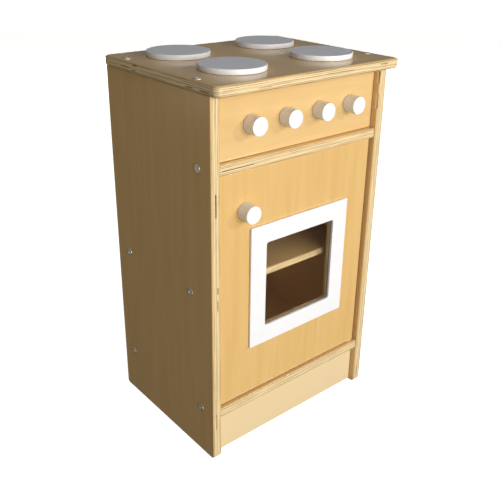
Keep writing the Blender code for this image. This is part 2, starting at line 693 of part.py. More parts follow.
DOOR_AXIS = joint_empty("door_hinge_axis", (HINGE_X, HINGE_Y, DOOR_BOTTOM))
DOOR = make_door_panel()
PANE, WINDOW_FRAME = make_window()
DOOR_KNOB, DOOR_KNOB_SCREW = make_door_knob(DOOR)
UPPER_PIN = make_hinge("upper", DOOR, RAIL, DOOR_TOP, RAIL_BOTTOM, AXIS_UP)
LOWER_PIN = make_hinge("lower", DOOR, BASE, DOOR_BOTTOM, BASE_TOP, AXIS_DOWN)


# ---- Magnetic catch ----

CATCH_X = SCREW_LENGTH + CATCH_SCREW_MARGIN + CATCH_WIDTH / 2 - CABINET_WIDTH / 2
STRIKE_BACK_Y = DOOR_BACK_Y + FIT_GAP + STRIKE_THICKNESS
MAGNET_FACE_Y = STRIKE_BACK_Y + FIT_GAP
CATCH_FRONT_Y = MAGNET_FACE_Y + MAGNET_PROUD
CATCH_TOP = RAIL_BOTTOM - FIT_GAP
MAGNET_Z = CATCH_TOP - CATCH_HEIGHT / 2


def make_catch():
    """The catch under the rail: a plastic case with a magnet let into its front, held by two screws."""
    case = board("catch_case", (CATCH_X - CATCH_WIDTH / 2, CATCH_FRONT_Y, CATCH_TOP - CATCH_HEIGHT),
                 (CATCH_X + CATCH_WIDTH / 2, CATCH_FRONT_Y + CATCH_DEPTH, CATCH_TOP),
                 CATCH_PLASTIC, ease=CASE_EASE)
    low = Vector((CATCH_X - MAGNET_WIDTH / 2, MAGNET_FACE_Y, MAGNET_Z - MAGNET_HEIGHT / 2))
    high = Vector((CATCH_X + MAGNET_WIDTH / 2, MAGNET_FACE_Y + MAGNET_DEPTH, MAGNET_Z + MAGNET_HEIGHT / 2))
    room = Vector((FIT_GAP, FIT_GAP, FIT_GAP))
    cut_box(case, "pocket", low - room, high + room)
    settle(board("catch_magnet", low, high, MAGNET_IRON, ease=MAGNET_EASE, ease_segments=1))
    screw_y = CATCH_FRONT_Y + CATCH_DEPTH / 2
    for side, sign in (("left", -1), ("right", 1)):
        x = CATCH_X + sign * CATCH_SCREW_SPREAD / 2
        under = Vector((x, screw_y, CATCH_TOP - CATCH_HEIGHT))
        cut_hole(case, f"{side}_screw", under, AXIS_UP, CATCH_SHANK_RADIUS + FIT_GAP,
                 CATCH_HEIGHT + OVERSHOOT)
        cut_hole(RAIL, f"catch_{side}", Vector((x, screw_y, RAIL_BOTTOM)), AXIS_UP,
                 CATCH_SHANK_RADIUS + FIT_GAP, CATCH_SCREW_BITE + FIT_GAP)
        pan_screw(f"catch_screw_{side}", under - AXIS_UP * FIT_GAP, AXIS_DOWN, STEEL, CATCH_SHANK_RADIUS,
                  CATCH_HEAD_RADIUS, CATCH_HEAD_HEIGHT, CATCH_HEIGHT + 2 * FIT_GAP + CATCH_SCREW_BITE)
    settle(case)


def make_strike():
    """The steel plate on the back of the door that the magnet pulls, and its screw."""
    top = DOOR_TOP - 2 * BOARD_EASE
    front = DOOR_BACK_Y + FIT_GAP
    plate = board("strike_plate", (CATCH_X - STRIKE_WIDTH / 2, front, top - STRIKE_HEIGHT),
                  (CATCH_X + STRIKE_WIDTH / 2, STRIKE_BACK_Y, top), STEEL, ease=STRIKE_EASE,
                  rounded=[(corner, STRIKE_CORNER_RADIUS) for corner in UPRIGHT_CORNERS], ease_segments=1)
    screw_z = top - STRIKE_HEIGHT + STRIKE_SCREW_RISE
    radius = CATCH_SHANK_RADIUS + FIT_GAP
    cut_hole(plate, "screw", Vector((CATCH_X, STRIKE_BACK_Y, screw_z)), AXIS_FRONT, radius,
             STRIKE_THICKNESS + OVERSHOOT)
    cut_hole(DOOR, "strike", Vector((CATCH_X, DOOR_BACK_Y, screw_z)), AXIS_FRONT, radius,
             CATCH_SCREW_BITE + FIT_GAP)
    seat = Vector((CATCH_X, STRIKE_BACK_Y + FIT_GAP, screw_z))
    screw = pan_screw("strike_screw", seat, AXIS_BACK, STEEL, CATCH_SHANK_RADIUS, CATCH_HEAD_RADIUS,
                      CATCH_HEAD_HEIGHT, CATCH_SCREW_BITE + 2 * FIT_GAP + STRIKE_THICKNESS)
    return settle(plate), screw


make_catch()
STRIKE, STRIKE_SCREW = make_strike()

for cut_board in (LEFT_SIDE, RIGHT_SIDE, WORKTOP, BASE, SHELF, RAIL, CONTROL, KICK, DOOR):
    settle(cut_board)

carry(DOOR_AXIS, DOOR, PANE, WINDOW_FRAME, DOOR_KNOB, DOOR_KNOB_SCREW, UPPER_PIN, LOWER_PIN,
      STRIKE, STRIKE_SCREW)
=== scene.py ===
# %% [markdown]
# # A wooden play stove
# A small cupboard of birch plywood with four white hob plates, four turning knobs and an oven door with a
# window. The working model is already made: it gives every board, screw and joint its place. This script
# loads it as a frame and builds the surfaces over it: boards with their veneers, screws with their sockets,
# painted knobs, a clear pane. All sizes are in metres.

import math

import bmesh
import bpy
from mathutils import Matrix, Vector


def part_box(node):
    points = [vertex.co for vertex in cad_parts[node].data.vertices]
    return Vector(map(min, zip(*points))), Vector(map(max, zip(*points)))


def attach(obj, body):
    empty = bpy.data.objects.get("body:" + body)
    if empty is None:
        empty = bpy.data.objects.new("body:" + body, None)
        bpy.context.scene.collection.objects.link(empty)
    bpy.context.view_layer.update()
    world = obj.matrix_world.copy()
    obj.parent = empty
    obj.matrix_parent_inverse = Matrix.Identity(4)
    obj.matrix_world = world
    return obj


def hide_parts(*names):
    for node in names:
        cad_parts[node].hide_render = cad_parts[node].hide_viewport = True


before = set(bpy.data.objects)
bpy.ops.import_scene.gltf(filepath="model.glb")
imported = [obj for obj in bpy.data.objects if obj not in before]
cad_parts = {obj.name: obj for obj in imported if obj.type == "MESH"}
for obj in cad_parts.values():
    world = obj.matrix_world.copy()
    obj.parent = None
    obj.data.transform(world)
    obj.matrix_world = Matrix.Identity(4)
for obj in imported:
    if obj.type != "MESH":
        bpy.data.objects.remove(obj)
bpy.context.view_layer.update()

# %% [markdown]
# ## Camera
# The camera stands in front of the stove and to its left, a little above the worktop, and looks down.
# A camera can be pointed with a Track To constraint, but a fixed turn about Z, then a tilt, then a small
# roll is exact and easy to read. The shift slides the picture upwards in its frame without tilting the
# camera, so upright boards keep their direction.

# %% Camera
CAMERA_PLACE = (-0.6952, -0.8254, 0.8020)
CAMERA_TURN = math.radians(-40.12)
CAMERA_DOWN = math.radians(23.66)
CAMERA_ROLL = math.radians(0.83)
LENS_MM = 49.16
SHIFT_UP = -0.05

camera_data = bpy.data.cameras.new("camera")
camera_data.lens = LENS_MM
camera_data.shift_y = SHIFT_UP
camera = bpy.data.objects.new("camera", camera_data)
camera.matrix_world = (Matrix.Translation(CAMERA_PLACE) @ Matrix.Rotation(CAMERA_TURN, 4, "Z")
                       @ Matrix.Rotation(math.radians(90) - CAMERA_DOWN, 4, "X")
                       @ Matrix.Rotation(CAMERA_ROLL, 4, "Z"))
bpy.context.scene.collection.objects.link(camera)
bpy.context.scene.camera = camera
print("camera at", CAMERA_PLACE, "lens", LENS_MM, "mm")

# %% [markdown]
# ## Colours and nodes
# Colours are picked as sRGB hex values, as any paint program shows them. Shaders count in linear light, so
# one function converts them. A second function adds a shader node with its settings and its links in one
# line, which keeps a long material readable from top to bottom.

# %% Colours and nodes
MM = 0.001
MIX_FACTOR, MIX_A, MIX_B, MIX_COLOUR = 0, 6, 7, 2      # sockets of a Mix node that mixes colours
FLOAT_A, FLOAT_B, FLOAT_RESULT = 2, 3, 0               # and of one that mixes numbers


def srgb(text):
    """The linear colour of a hex value such as "#DDB87C"."""
    parts = [int(text[i:i + 2], 16) / 255 for i in (1, 3, 5)]
    linear = [p / 12.92 if p <= 0.04045 else ((p + 0.055) / 1.055) ** 2.4 for p in parts]
    return (*linear, 1.0)


def add(tree, kind, inputs=None, **settings):
    """Adds a node. inputs maps a socket to a value or to another node's output."""
    made = tree.nodes.new("ShaderNode" + kind)
    for name, value in settings.items():
        setattr(made, name, value)
    for key, value in (inputs or {}).items():
        if isinstance(value, bpy.types.NodeSocket):
            tree.links.new(value, made.inputs[key])
        else:
            made.inputs[key].default_value = value
    return made


def new_material(name, roughness, metallic=0.0):
    """A material with one Principled shader. Returns the material, its tree and the shader."""
    material = bpy.data.materials.new(name)
    material.use_nodes = True
    shader = material.node_tree.nodes["Principled BSDF"]
    shader.inputs["Roughness"].default_value = roughness
    shader.inputs["Metallic"].default_value = metallic
    return material, material.node_tree, shader


print("a mid birch tone in linear light", srgb("#DDB87C")[:3])

# %% [markdown]
# ## Birch plywood
# Plywood is a stack of thin birch veneers, each glued across the one below. The same wood shows as a calm
# broad figure on a face and as light and dark bands with thin glue lines on an edge. It could be painted
# as two materials, but then a rounded edge would show a seam. So it is one solid pattern: each board
# carries an attribute that says how far a point is along the grain, across it, and how many veneers it is
# from the board's middle. The finish is a satin clear lacquer, rolled on and sanded, so the reflection is
# soft and the fibres lift it a little.

# %% Birch plywood
VENEERS = 7                # across a 16 mm board
OUTER_SANDED = 0.3         # share of an outer veneer that sanding has taken off
VENEER_MM = 16 / (VENEERS - 2 * OUTER_SANDED)
NOISE_RANGE = (0.3, 0.7)   # where nearly all of a noise texture's values lie
LAYER_STEP = 7.3           # moves the grain on from one veneer to the next


def calculate(tree, operation, *values):
    """One sum, product or other step of arithmetic between numbers or sockets."""
    return add(tree, "Math", dict(enumerate(values)), operation=operation).outputs[0]


def veneer_space(tree):
    """The board's own place: its three axes, and the fibre direction of the veneer at that depth."""
    place = add(tree, "Attribute", attribute_name="ply").outputs["Vector"]
    axes = add(tree, "SeparateXYZ", {0: place}).outputs
    count = calculate(tree, "ADD", axes[2], 0.5)
    layer = calculate(tree, "FLOOR", count)
    odd = calculate(tree, "FLOORED_MODULO", layer, 2.0)
    run = add(tree, "Mix", {MIX_FACTOR: odd, FLOAT_A: axes[1], FLOAT_B: axes[0]}).outputs[FLOAT_RESULT]
    side = add(tree, "Mix", {MIX_FACTOR: odd, FLOAT_A: axes[0], FLOAT_B: axes[1]}).outputs[FLOAT_RESULT]
    fibre = add(tree, "CombineXYZ", {0: run, 1: side, 2: layer}).outputs[0]
    return place, axes[2], odd, fibre


def noise(tree, where, scale, detail, distortion=0.0):
    """The value of a noise texture."""
    return add(tree, "TexNoise", {"Vector": where, "Scale": scale, "Detail": detail,
                                  "Distortion": distortion}).outputs[0]


def fibre_noise(tree, fibre, length, width, detail, distortion=0.0):
    """Noise drawn out along the fibres. length and width are in millimetres."""
    scaled = add(tree, "VectorMath", {0: fibre, 1: (1 / length, 1 / width, LAYER_STEP)},
                 operation="MULTIPLY").outputs[0]
    return noise(tree, scaled, 1.0, detail, distortion)


def lift_surface(tree, shader, strength, height_mm, pattern):
    """A fine relief, too small to model."""
    bump = add(tree, "Bump", {"Strength": strength, "Distance": height_mm * MM, "Height": pattern})
    tree.links.new(bump.outputs[0], shader.inputs["Normal"])


def remap(tree, value, low, high, to_low, to_high):
    """Moves a number from one range to another, and stops at its ends."""
    return add(tree, "MapRange", {"Value": value, "From Min": low, "From Max": high,
                                  "To Min": to_low, "To Max": to_high}).outputs[0]


def mix_colour(tree, factor, first, second):
    """One colour laid over another."""
    return add(tree, "Mix", {MIX_FACTOR: factor, MIX_A: first, MIX_B: second},
               data_type="RGBA").outputs[MIX_COLOUR]


print("one veneer of a 16 mm board is", round(VENEER_MM, 2), "mm")

# %% [markdown]
# ### Grain on the face
# Birch is calm and close grained. Three noises drawn out along the fibres, from the broad growth figure
# down to single pores, are added up in shares and coloured by a ramp of three near tones. A wood texture
# node would give rings, which rotary cut birch veneer doesn't show.

# %% Birch plywood: grain on the face
FIGURE = (230.0, 17.0)     # broad growth figure, mm along and across
STREAK = (85.0, 2.1)       # single darker fibre bundles, drawn a little coarse so that they show
PORE = (9.0, 0.7)          # pores, seen as short flecks
FIGURE_SHARE = 0.55
STREAK_SHARE = 0.24
PORE_SHARE = 0.21
FIGURE_SWIRL = 0.25
GRAIN_TONES = [(0.3, "#D7AE6F"), (0.5, "#DDB777"), (0.7, "#E2BE83")]

BIRCH, birch, birch_shader = new_material("birch_plywood_satin_lacquer", roughness=0.3)
place, depth, odd, fibre = veneer_space(birch)
figure = fibre_noise(birch, fibre, *FIGURE, 3.0, FIGURE_SWIRL)
streak = fibre_noise(birch, fibre, *STREAK, 2.0)
pore = fibre_noise(birch, fibre, *PORE, 1.0)
grain = calculate(birch, "MULTIPLY", figure, FIGURE_SHARE)
grain = calculate(birch, "MULTIPLY_ADD", streak, STREAK_SHARE, grain)
grain = calculate(birch, "MULTIPLY_ADD", pore, PORE_SHARE, grain)

tones = add(birch, "ValToRGB", {0: grain})
ramp = tones.color_ramp.elements
ramp.new(GRAIN_TONES[1][0])
for stop, (position, tone) in zip(ramp, GRAIN_TONES):
    stop.position = position
    stop.color = srgb(tone)
print("grain tones", [tone for position, tone in GRAIN_TONES])

# %% [markdown]
# ### Veneer edges and glue lines
# The inner veneers are paler than the lacquered face, and those that show end grain are a little darker
# and duller. Phenolic glue leaves a brown line between veneers, here fainter and there stronger, and it
# isn't quite straight, because the veneers are pressed over each other's knots and gaps.

# %% Birch plywood: glue lines
GLUE_WAVE_MM = 60.0        # how often a glue line wanders
GLUE_WAVE_DEPTH = 0.9      # how far it differs from one line to the next
GLUE_WANDER = 0.36         # how far it wanders, in veneers
GLUE_HALF_WIDTH = 0.16     # of a veneer, drawn wide enough to show
GLUE_FADE = (0.4, 0.6)     # noise below the first is a faint line, above the second a strong one
GLUE_FAINT = 0.15

slow = add(birch, "VectorMath", {0: place, 1: (1 / GLUE_WAVE_MM, 1 / GLUE_WAVE_MM, GLUE_WAVE_DEPTH)},
           operation="MULTIPLY").outputs[0]
wander = noise(birch, slow, 1.0, 2.0)
wandered = calculate(birch, "MULTIPLY_ADD", wander, GLUE_WANDER, depth)
centred = calculate(birch, "SUBTRACT", wandered, GLUE_WANDER / 2)
to_middle = calculate(birch, "PINGPONG", centred, 0.5)
glue_line = remap(birch, to_middle, 0.5 - GLUE_HALF_WIDTH, 0.5 - GLUE_HALF_WIDTH / 3, 0.0, 1.0)
glue_strength = remap(birch, wander, *GLUE_FADE, GLUE_FAINT, 1.0)
glue = calculate(birch, "MULTIPLY", glue_line, glue_strength)
print("a glue line is drawn", round(2 * GLUE_HALF_WIDTH * VENEER_MM, 2), "mm wide")

# %% [markdown]
# ### Putting the plywood together
# The tones are laid over each other like coats: the face's grain, the board's own tone, the paler inner
# veneers, the dull end grain, and the glue. Roughness drifts where hands have rubbed the lacquer, and the
# sawn edges drink more of it and stay rougher. Grain and glue lines lift the surface a little through a
# bump, because at this size the fibres are too fine to model.

# %% Birch plywood: tones, lacquer and relief
INNER_PALE = 0.7
END_GRAIN_DULL = 0.38
RUBBED_SCALE = 0.018       # patches of about 55 mm
LACQUER_ROUGHNESS = (0.15, 0.24)
EDGE_ROUGHER = 0.12
GLUE_SUNK = -0.8
RELIEF_MM = 0.15

from_middle = calculate(birch, "ABSOLUTE", depth)
inner = remap(birch, from_middle, VENEERS / 2 - 1.05, VENEERS / 2 - 0.95, 1.0, 0.0)
even = calculate(birch, "SUBTRACT", 1.0, odd)
end_grain = calculate(birch, "MULTIPLY", even, inner)
pale = calculate(birch, "MULTIPLY", inner, INNER_PALE)
dull = calculate(birch, "MULTIPLY", end_grain, END_GRAIN_DULL)
board_tone = add(birch, "Attribute", attribute_name="board_tone").outputs["Fac"]

toned = mix_colour(birch, board_tone, tones.outputs["Color"], srgb("#EBD5AC"))
paler = mix_colour(birch, pale, toned, srgb("#F6E6BC"))
duller = mix_colour(birch, dull, paler, srgb("#C79E62"))
glued = mix_colour(birch, glue, duller, srgb("#5A3116"))
birch.links.new(glued, birch_shader.inputs["Base Color"])

handled = noise(birch, place, RUBBED_SCALE, 3.0)
satin = remap(birch, handled, *NOISE_RANGE, *LACQUER_ROUGHNESS)
roughened = calculate(birch, "MULTIPLY_ADD", inner, EDGE_ROUGHER, satin)
birch.links.new(roughened, birch_shader.inputs["Roughness"])
relief = calculate(birch, "MULTIPLY_ADD", glue, GLUE_SUNK, grain)
lift_surface(birch, birch_shader, 0.35, RELIEF_MM, relief)
print(BIRCH.name, "uses", len(birch.nodes), "nodes")

# %% [markdown]
# ### Gaps in the core
# Where two pieces of a core veneer don't meet, a sawn edge shows a short dark slot. Those slots are really
# cut below, and their walls take this dark brown material, which is painted shade: it keeps a slot dark where
# a lamp shines straight in.

# %% Core gap
GAP_MOTTLE_GRAIN = MM / 0.7      # about 1.4 mm
# painted shade: the slot walls get mottled dark browns in place of the shade that a deep slot holds
CORE_GAP_SHADE, gap, gap_shader = new_material("core_gap_painted_shade", roughness=0.9)
gap_place = add(gap, "TexCoord").outputs["Object"]
gap_noise = noise(gap, gap_place, 1 / GAP_MOTTLE_GRAIN, 2.0)
gap.links.new(mix_colour(gap, gap_noise, srgb("#2A1A0E"), srgb("#7B5330")), gap_shader.inputs["Base Color"])
print(CORE_GAP_SHADE.name)

# %% [markdown]
# ## White paint
# The hob plates, knobs and window frame are beech and thin board with a sprayed white lacquer. Sprayed
# lacquer dries with a very fine orange peel, about 2 mm from bump to bump, and its sheen varies slightly
# where hands rub it. Real white paint is never pure white, which also leaves room for the light.

# %% White paint
PEEL_SCALE = 450.0         # bumps of about 2.2 mm
RUBBED_WHITE_SCALE = 45.0  # patches of about 22 mm
PEEL_MM = 0.05

WHITE, white, white_shader = new_material("white_sprayed_lacquer", roughness=0.35)
white_place = add(white, "TexCoord").outputs["Object"]
peel = noise(white, white_place, PEEL_SCALE, 2.0)
rubbed = noise(white, white_place, RUBBED_WHITE_SCALE, 3.0)
white.links.new(mix_colour(white, rubbed, srgb("#ECEEF3"), srgb("#F5F6F9")),
                white_shader.inputs["Base Color"])
white.links.new(remap(white, rubbed, *NOISE_RANGE, 0.28, 0.4), white_shader.inputs["Roughness"])
lift_surface(white, white_shader, 0.25, PEEL_MM, peel)
print(WHITE.name)

# %% [markdown]
# ## Acrylic pane
# The oven window is a 3 mm cast acrylic sheet, lightly smoked. It is real transmission with acrylic's index
# of refraction, so the dark oven shows through and the lamps glide over it. The smoke is a grey base
# colour, which the light meets twice on its way through. Fingerprints roughen it a little in patches.

# %% Acrylic pane
FINGERPRINT_SCALE = 28.0   # patches of about 35 mm
SMEAR_ROUGHNESS = 0.03

ACRYLIC, acrylic, acrylic_shader = new_material("smoked_cast_acrylic", roughness=0.02)
acrylic_shader.inputs["Transmission Weight"].default_value = 1.0
acrylic_shader.inputs["IOR"].default_value = 1.49
acrylic_place = add(acrylic, "TexCoord").outputs["Object"]
smear = noise(acrylic, acrylic_place, FINGERPRINT_SCALE, 4.0)
acrylic.links.new(mix_colour(acrylic, smear, srgb("#CECCC9"), srgb("#D3D1CE")),
                  acrylic_shader.inputs["Base Color"])
acrylic.links.new(remap(acrylic, smear, 0.5, 0.7, 0.0, SMEAR_ROUGHNESS), acrylic_shader.inputs["Roughness"])
print(ACRYLIC.name)

# %% [markdown]
# ## Metals and small plastics
# Panel screws are nickel plated and tumbled, so they are bright with a faint satin. The small screws, pins
# and strike are zinc plated steel, cooler and duller with a cloudy passivated film. The bushes are milky
# nylon, the catch is brown moulded plastic round a grey ferrite magnet, and the dowels are plain beech.
# Each is short, so one function makes them all: two tones, a grain size and a roughness range.

# %% Metals and small plastics
def cloudy(name, dark, light, grain_mm, smooth, rough, metallic=0.0, relief_mm=0.01, stretch=(1, 1, 1)):
    """A finish that drifts between two tones and two roughnesses, with a fine relief."""
    material, tree, shader = new_material(name, rough, metallic)
    here = add(tree, "TexCoord").outputs["Object"]
    drawn = add(tree, "VectorMath", {0: here, 1: stretch}, operation="MULTIPLY").outputs[0]
    clouds = noise(tree, drawn, 1 / (grain_mm * MM), 3.0)
    tree.links.new(mix_colour(tree, clouds, srgb(dark), srgb(light)), shader.inputs["Base Color"])
    tree.links.new(remap(tree, clouds, *NOISE_RANGE, smooth, rough), shader.inputs["Roughness"])
    lift_surface(tree, shader, 0.3, relief_mm, clouds)
    return material


NICKEL = cloudy("tumbled_nickel_plated_steel", "#DDD6CA", "#F6F1E8", 1.2, 0.42, 0.6, metallic=1.0)
ZINC = cloudy("zinc_plated_steel", "#A9ACAE", "#D2D5D6", 2.0, 0.3, 0.5, metallic=1.0)
NYLON = cloudy("natural_nylon", "#DAD5C6", "#EAE6DA", 3.0, 0.4, 0.55)
BROWN_PLASTIC = cloudy("brown_moulded_plastic", "#4A2E1C", "#5A3924", 0.8, 0.35, 0.5, relief_mm=0.03)
FERRITE = cloudy("grey_ferrite", "#2C2B2B", "#454443", 0.5, 0.6, 0.8, relief_mm=0.03)
BEECH = cloudy("turned_beech", "#C99A6B", "#DDB48A", 2.0, 0.5, 0.65, stretch=(0.1, 1, 1))
print([m.name for m in (NICKEL, ZINC, NYLON, BROWN_PLASTIC, FERRITE, BEECH)])

# %% [markdown]
# ## Working by hand, in code
# Every piece starts as a primitive at its size and place and is shaped in edit mode. An operator works on
# whatever is selected, so these helpers first deselect everything and then pick edges or faces by where
# they are. At the end a piece gets its material, and is told which part of the stove it moves with.

# %% Modelling helpers
NEAR = 0.1 * MM            # how close a place must be to count as the same
X, Y, Z = Vector((1, 0, 0)), Vector((0, 1, 0)), Vector((0, 0, 1))


def deselect():
    """Leaves edit mode and selects nothing."""
    if bpy.context.object and bpy.context.object.mode != "OBJECT":
        bpy.ops.object.mode_set(mode="OBJECT")
    bpy.ops.object.select_all(action="DESELECT")


def box_piece(name, low, high):
    """A cube primitive stretched between two corners, with its place in its mesh."""
    deselect()
    low, high = Vector(low), Vector(high)
    bpy.ops.mesh.primitive_cube_add(size=1, location=(low + high) / 2, scale=high - low)
    piece = bpy.context.object
    piece.name = name
    bpy.ops.object.transform_apply(location=True, rotation=True, scale=True)
    return piece


def round_piece(name, start, end, radius, vertices=64):
    """A cylinder primitive from one point to another, with its place in its mesh."""
    deselect()
    start, end = Vector(start), Vector(end)
    turn = (end - start).to_track_quat("Z", "Y").to_euler()
    bpy.ops.mesh.primitive_cylinder_add(vertices=vertices, radius=radius, depth=(end - start).length,
                                        location=(start + end) / 2, rotation=turn)
    piece = bpy.context.object
    piece.name = name
    bpy.ops.object.transform_apply(location=True, rotation=True, scale=True)
    return piece


def make_active(piece):
    """Selects one piece only, ready for an operator."""
    deselect()
    piece.select_set(True)
    bpy.context.view_layer.objects.active = piece


def edit(piece):
    """Opens one piece in edit mode."""
    make_active(piece)
    bpy.ops.object.mode_set(mode="EDIT")


def pick_edges(piece, test):
    """In edit mode, selects the edges whose middle and direction pass a test."""
    bpy.ops.mesh.select_mode(type="EDGE")
    bpy.ops.mesh.select_all(action="DESELECT")
    mesh = bmesh.from_edit_mesh(piece.data)
    for edge in mesh.edges:
        first, second = (v.co for v in edge.verts)
        if test((first + second) / 2, (second - first).normalized()):
            edge.select_set(True)
    bmesh.update_edit_mesh(piece.data)


def pick_faces(piece, test):
    """In edit mode, selects the faces whose middle and normal pass a test."""
    bpy.ops.mesh.select_mode(type="FACE")
    bpy.ops.mesh.select_all(action="DESELECT")
    mesh = bmesh.from_edit_mesh(piece.data)
    for face in mesh.faces:
        if test(face.calc_center_median(), face.normal):
            face.select_set(True)
    bmesh.update_edit_mesh(piece.data)


print("pieces are shaped within", NEAR, "m")

# %% [markdown]
# ### Rounding, cutting and finishing
# A hand plane rounds an edge, a drill and a saw take wood away. Here a bevel on picked edges or on all
# sharp ones does the first, and a boolean with a throw-away cutter the second. A finished piece is shaded
# smooth by angle, and weighted normals keep its flat faces flat beside their rounded edges.

# %% Modelling helpers: rounding, cutting and finishing
SMOOTH_ANGLE = math.radians(32)
ALONG = 0.999              # how nearly two directions agree
FIT = 0.3 * MM             # clearance round anything that sits in a hole
PAST = 5 * MM              # how far a cutter runs past the face it cuts


def round_corners(piece, direction, radius, test=lambda middle: True, segments=8):
    """Rounds the edges that run in one direction."""
    edit(piece)
    pick_edges(piece, lambda middle, along: abs(along.dot(direction)) > ALONG and test(middle))
    bpy.ops.mesh.bevel(offset=radius, segments=segments, affect="EDGES")
    deselect()


def apply_modifier(piece, kind, **settings):
    """Adds a modifier with its settings and applies it at once."""
    make_active(piece)
    modifier = piece.modifiers.new(kind.lower(), kind)
    for name, value in settings.items():
        setattr(modifier, name, value)
    bpy.ops.object.modifier_apply(modifier=modifier.name)


def ease_edges(piece, width, segments=3, angle=30):
    """Breaks every sharp edge, as sandpaper does."""
    apply_modifier(piece, "BEVEL", width=width, segments=segments, limit_method="ANGLE",
                   angle_limit=math.radians(angle), use_clamp_overlap=True)


def cut_away(piece, cutter):
    """Cuts one piece's shape out of another and throws the cutter away."""
    apply_modifier(piece, "BOOLEAN", operation="DIFFERENCE", solver="EXACT", object=cutter)
    bpy.data.objects.remove(cutter)


def drill(piece, start, end, radius, vertices=32):
    """Drills a round hole from one point to another."""
    cut_away(piece, round_piece("drill", start, end, radius, vertices))


def finish(piece, material, body, node):
    """Shades a piece, gives it its material, says what it rides on, and hides the node it stands for."""
    make_active(piece)
    bpy.ops.object.shade_smooth_by_angle(angle=SMOOTH_ANGLE)
    apply_modifier(piece, "WEIGHTED_NORMAL", keep_sharp=True)
    if not piece.data.materials:
        piece.data.materials.append(material)
    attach(piece, body)
    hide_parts(node)


print("holes are", FIT, "m wider all round than what they hold")

# %% [markdown]
# ## Boards
# A board is sawn to size, its edges are sanded round, and then it is drilled. So the cube is stretched
# between the frame's corners, its edges are bevelled, and the holes are cut with booleans, each hole a
# little larger than what goes in it. Cutting after the bevel keeps the rims of the holes crisp. Each board
# also says which way its grain runs and which way it is thick, for the veneers.

# %% Boards
BOARD_EASE = 1.4 * MM
THIN_EASE = 0.5 * MM
SAW_SHORT = 0.6 * MM       # leaves a dark joint at a board's right end
BOARD_FOOT = 6 * MM        # radius of the side panels' corners on the floor
ALONG_X, ALONG_Y, ALONG_Z = 0, 1, 2
GRAIN_AND_THICKNESS = {"left_side_panel": (ALONG_Z, ALONG_X), "right_side_panel": (ALONG_Z, ALONG_X),
                       "worktop": (ALONG_X, ALONG_Z), "control_panel": (ALONG_X, ALONG_Y),
                       "front_rail": (ALONG_X, ALONG_Z), "bottom_shelf": (ALONG_X, ALONG_Z),
                       "middle_shelf": (ALONG_X, ALONG_Z), "kick_board": (ALONG_X, ALONG_Y),
                       "back_panel": (ALONG_Z, ALONG_Y), "door_panel": (ALONG_Z, ALONG_Y)}
boards = {}


def saw_board(node, ease, short=0.0, foot=0.0):
    """A board between the corners of its node, with its edges sanded. short is taken off its right end."""
    low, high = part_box(node)
    high.x -= short
    piece = box_piece("ply_" + node, low, high)
    if foot:
        round_corners(piece, X, foot, test=lambda middle: middle.z < NEAR)
    ease_edges(piece, ease)
    boards[node] = piece


for node in ("left_side_panel", "right_side_panel"):
    saw_board(node, BOARD_EASE, foot=BOARD_FOOT)
for node, short in (("control_panel", SAW_SHORT), ("front_rail", 0.0), ("bottom_shelf", 0.0),
                    ("middle_shelf", 0.0), ("kick_board", SAW_SHORT)):
    saw_board(node, BOARD_EASE, short=short)
saw_board("back_panel", THIN_EASE)
print("sawn", sorted(boards))

# %% [markdown]
# ### Worktop
# The worktop is the one board that little hands lean on, so a router has rounded its corners and run a
# quarter-round along both its edges. First the four upright corners are bevelled, then every edge of the
# upper and lower face. Rounding a bare stack of veneers is what draws the contour lines at its corners.

# %% Worktop
WORKTOP_CORNER = 10 * MM
WORKTOP_ROUND = 4.5 * MM

low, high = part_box("worktop")
worktop = box_piece("ply_worktop", low, high)
round_corners(worktop, Z, WORKTOP_CORNER, segments=12)
edit(worktop)
pick_edges(worktop, lambda middle, along: min(abs(middle.z - low.z), abs(middle.z - high.z)) < NEAR)
bpy.ops.mesh.bevel(offset=WORKTOP_ROUND, segments=8, affect="EDGES")
deselect()
boards["worktop"] = worktop
print("worktop vertices", len(worktop.data.vertices))

# %% [markdown]
# ### Door
# The door is a board with a window cut through it. Its front edge at the hinge is rounded more than the
# others, so that it clears the side panel as it swings. From the front a shallow rebate is cut round the
# window, and the pane lies in it. The cut-out's corners have a router bit's radius.

# %% Door
CUTOUT_RADIUS = 5 * MM
CUTOUT_REVEAL = 6 * MM     # cut-out, outside the frame's opening
FRAME_BORDER = 31 * MM
PANE_RADIUS = 4 * MM
DOOR_HINGE_RADIUS = 4 * MM

low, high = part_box("door_panel")
frame_low, frame_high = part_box("window_frame")
pane_low, pane_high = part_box("window_pane")
hinge_edge = Vector((high.x, low.y, 0))
door = box_piece("ply_door_panel", low, high)
round_corners(door, Z, DOOR_HINGE_RADIUS, segments=6,
              test=lambda middle: (Vector((middle.x, middle.y, 0)) - hinge_edge).length < NEAR)
ease_edges(door, BOARD_EASE, angle=50)

inset = FRAME_BORDER - CUTOUT_REVEAL
cutout = box_piece("cutout", (frame_low.x + inset, low.y - PAST, frame_low.z + inset),
                   (frame_high.x - inset, high.y + PAST, frame_high.z - inset))
round_corners(cutout, Y, CUTOUT_RADIUS)
cut_away(door, cutout)
rebate = box_piece("rebate", (pane_low.x - FIT, low.y - PAST, pane_low.z - FIT),
                   (pane_high.x + FIT, pane_high.y + FIT, pane_high.z + FIT))
round_corners(rebate, Y, PANE_RADIUS)
cut_away(door, rebate)
boards["door_panel"] = door
print("door", [round(v, 4) for v in high - low], "polygons", len(door.data.polygons))

# %% [markdown]
# ### Holes and grooves
# Each fastener's place comes from the frame: the middle line of its box is the middle line of its hole.
# Panel screws go through one board, with a shallow recess for the head, and into the end of the next.
# The back panel slides in a groove down each side panel.

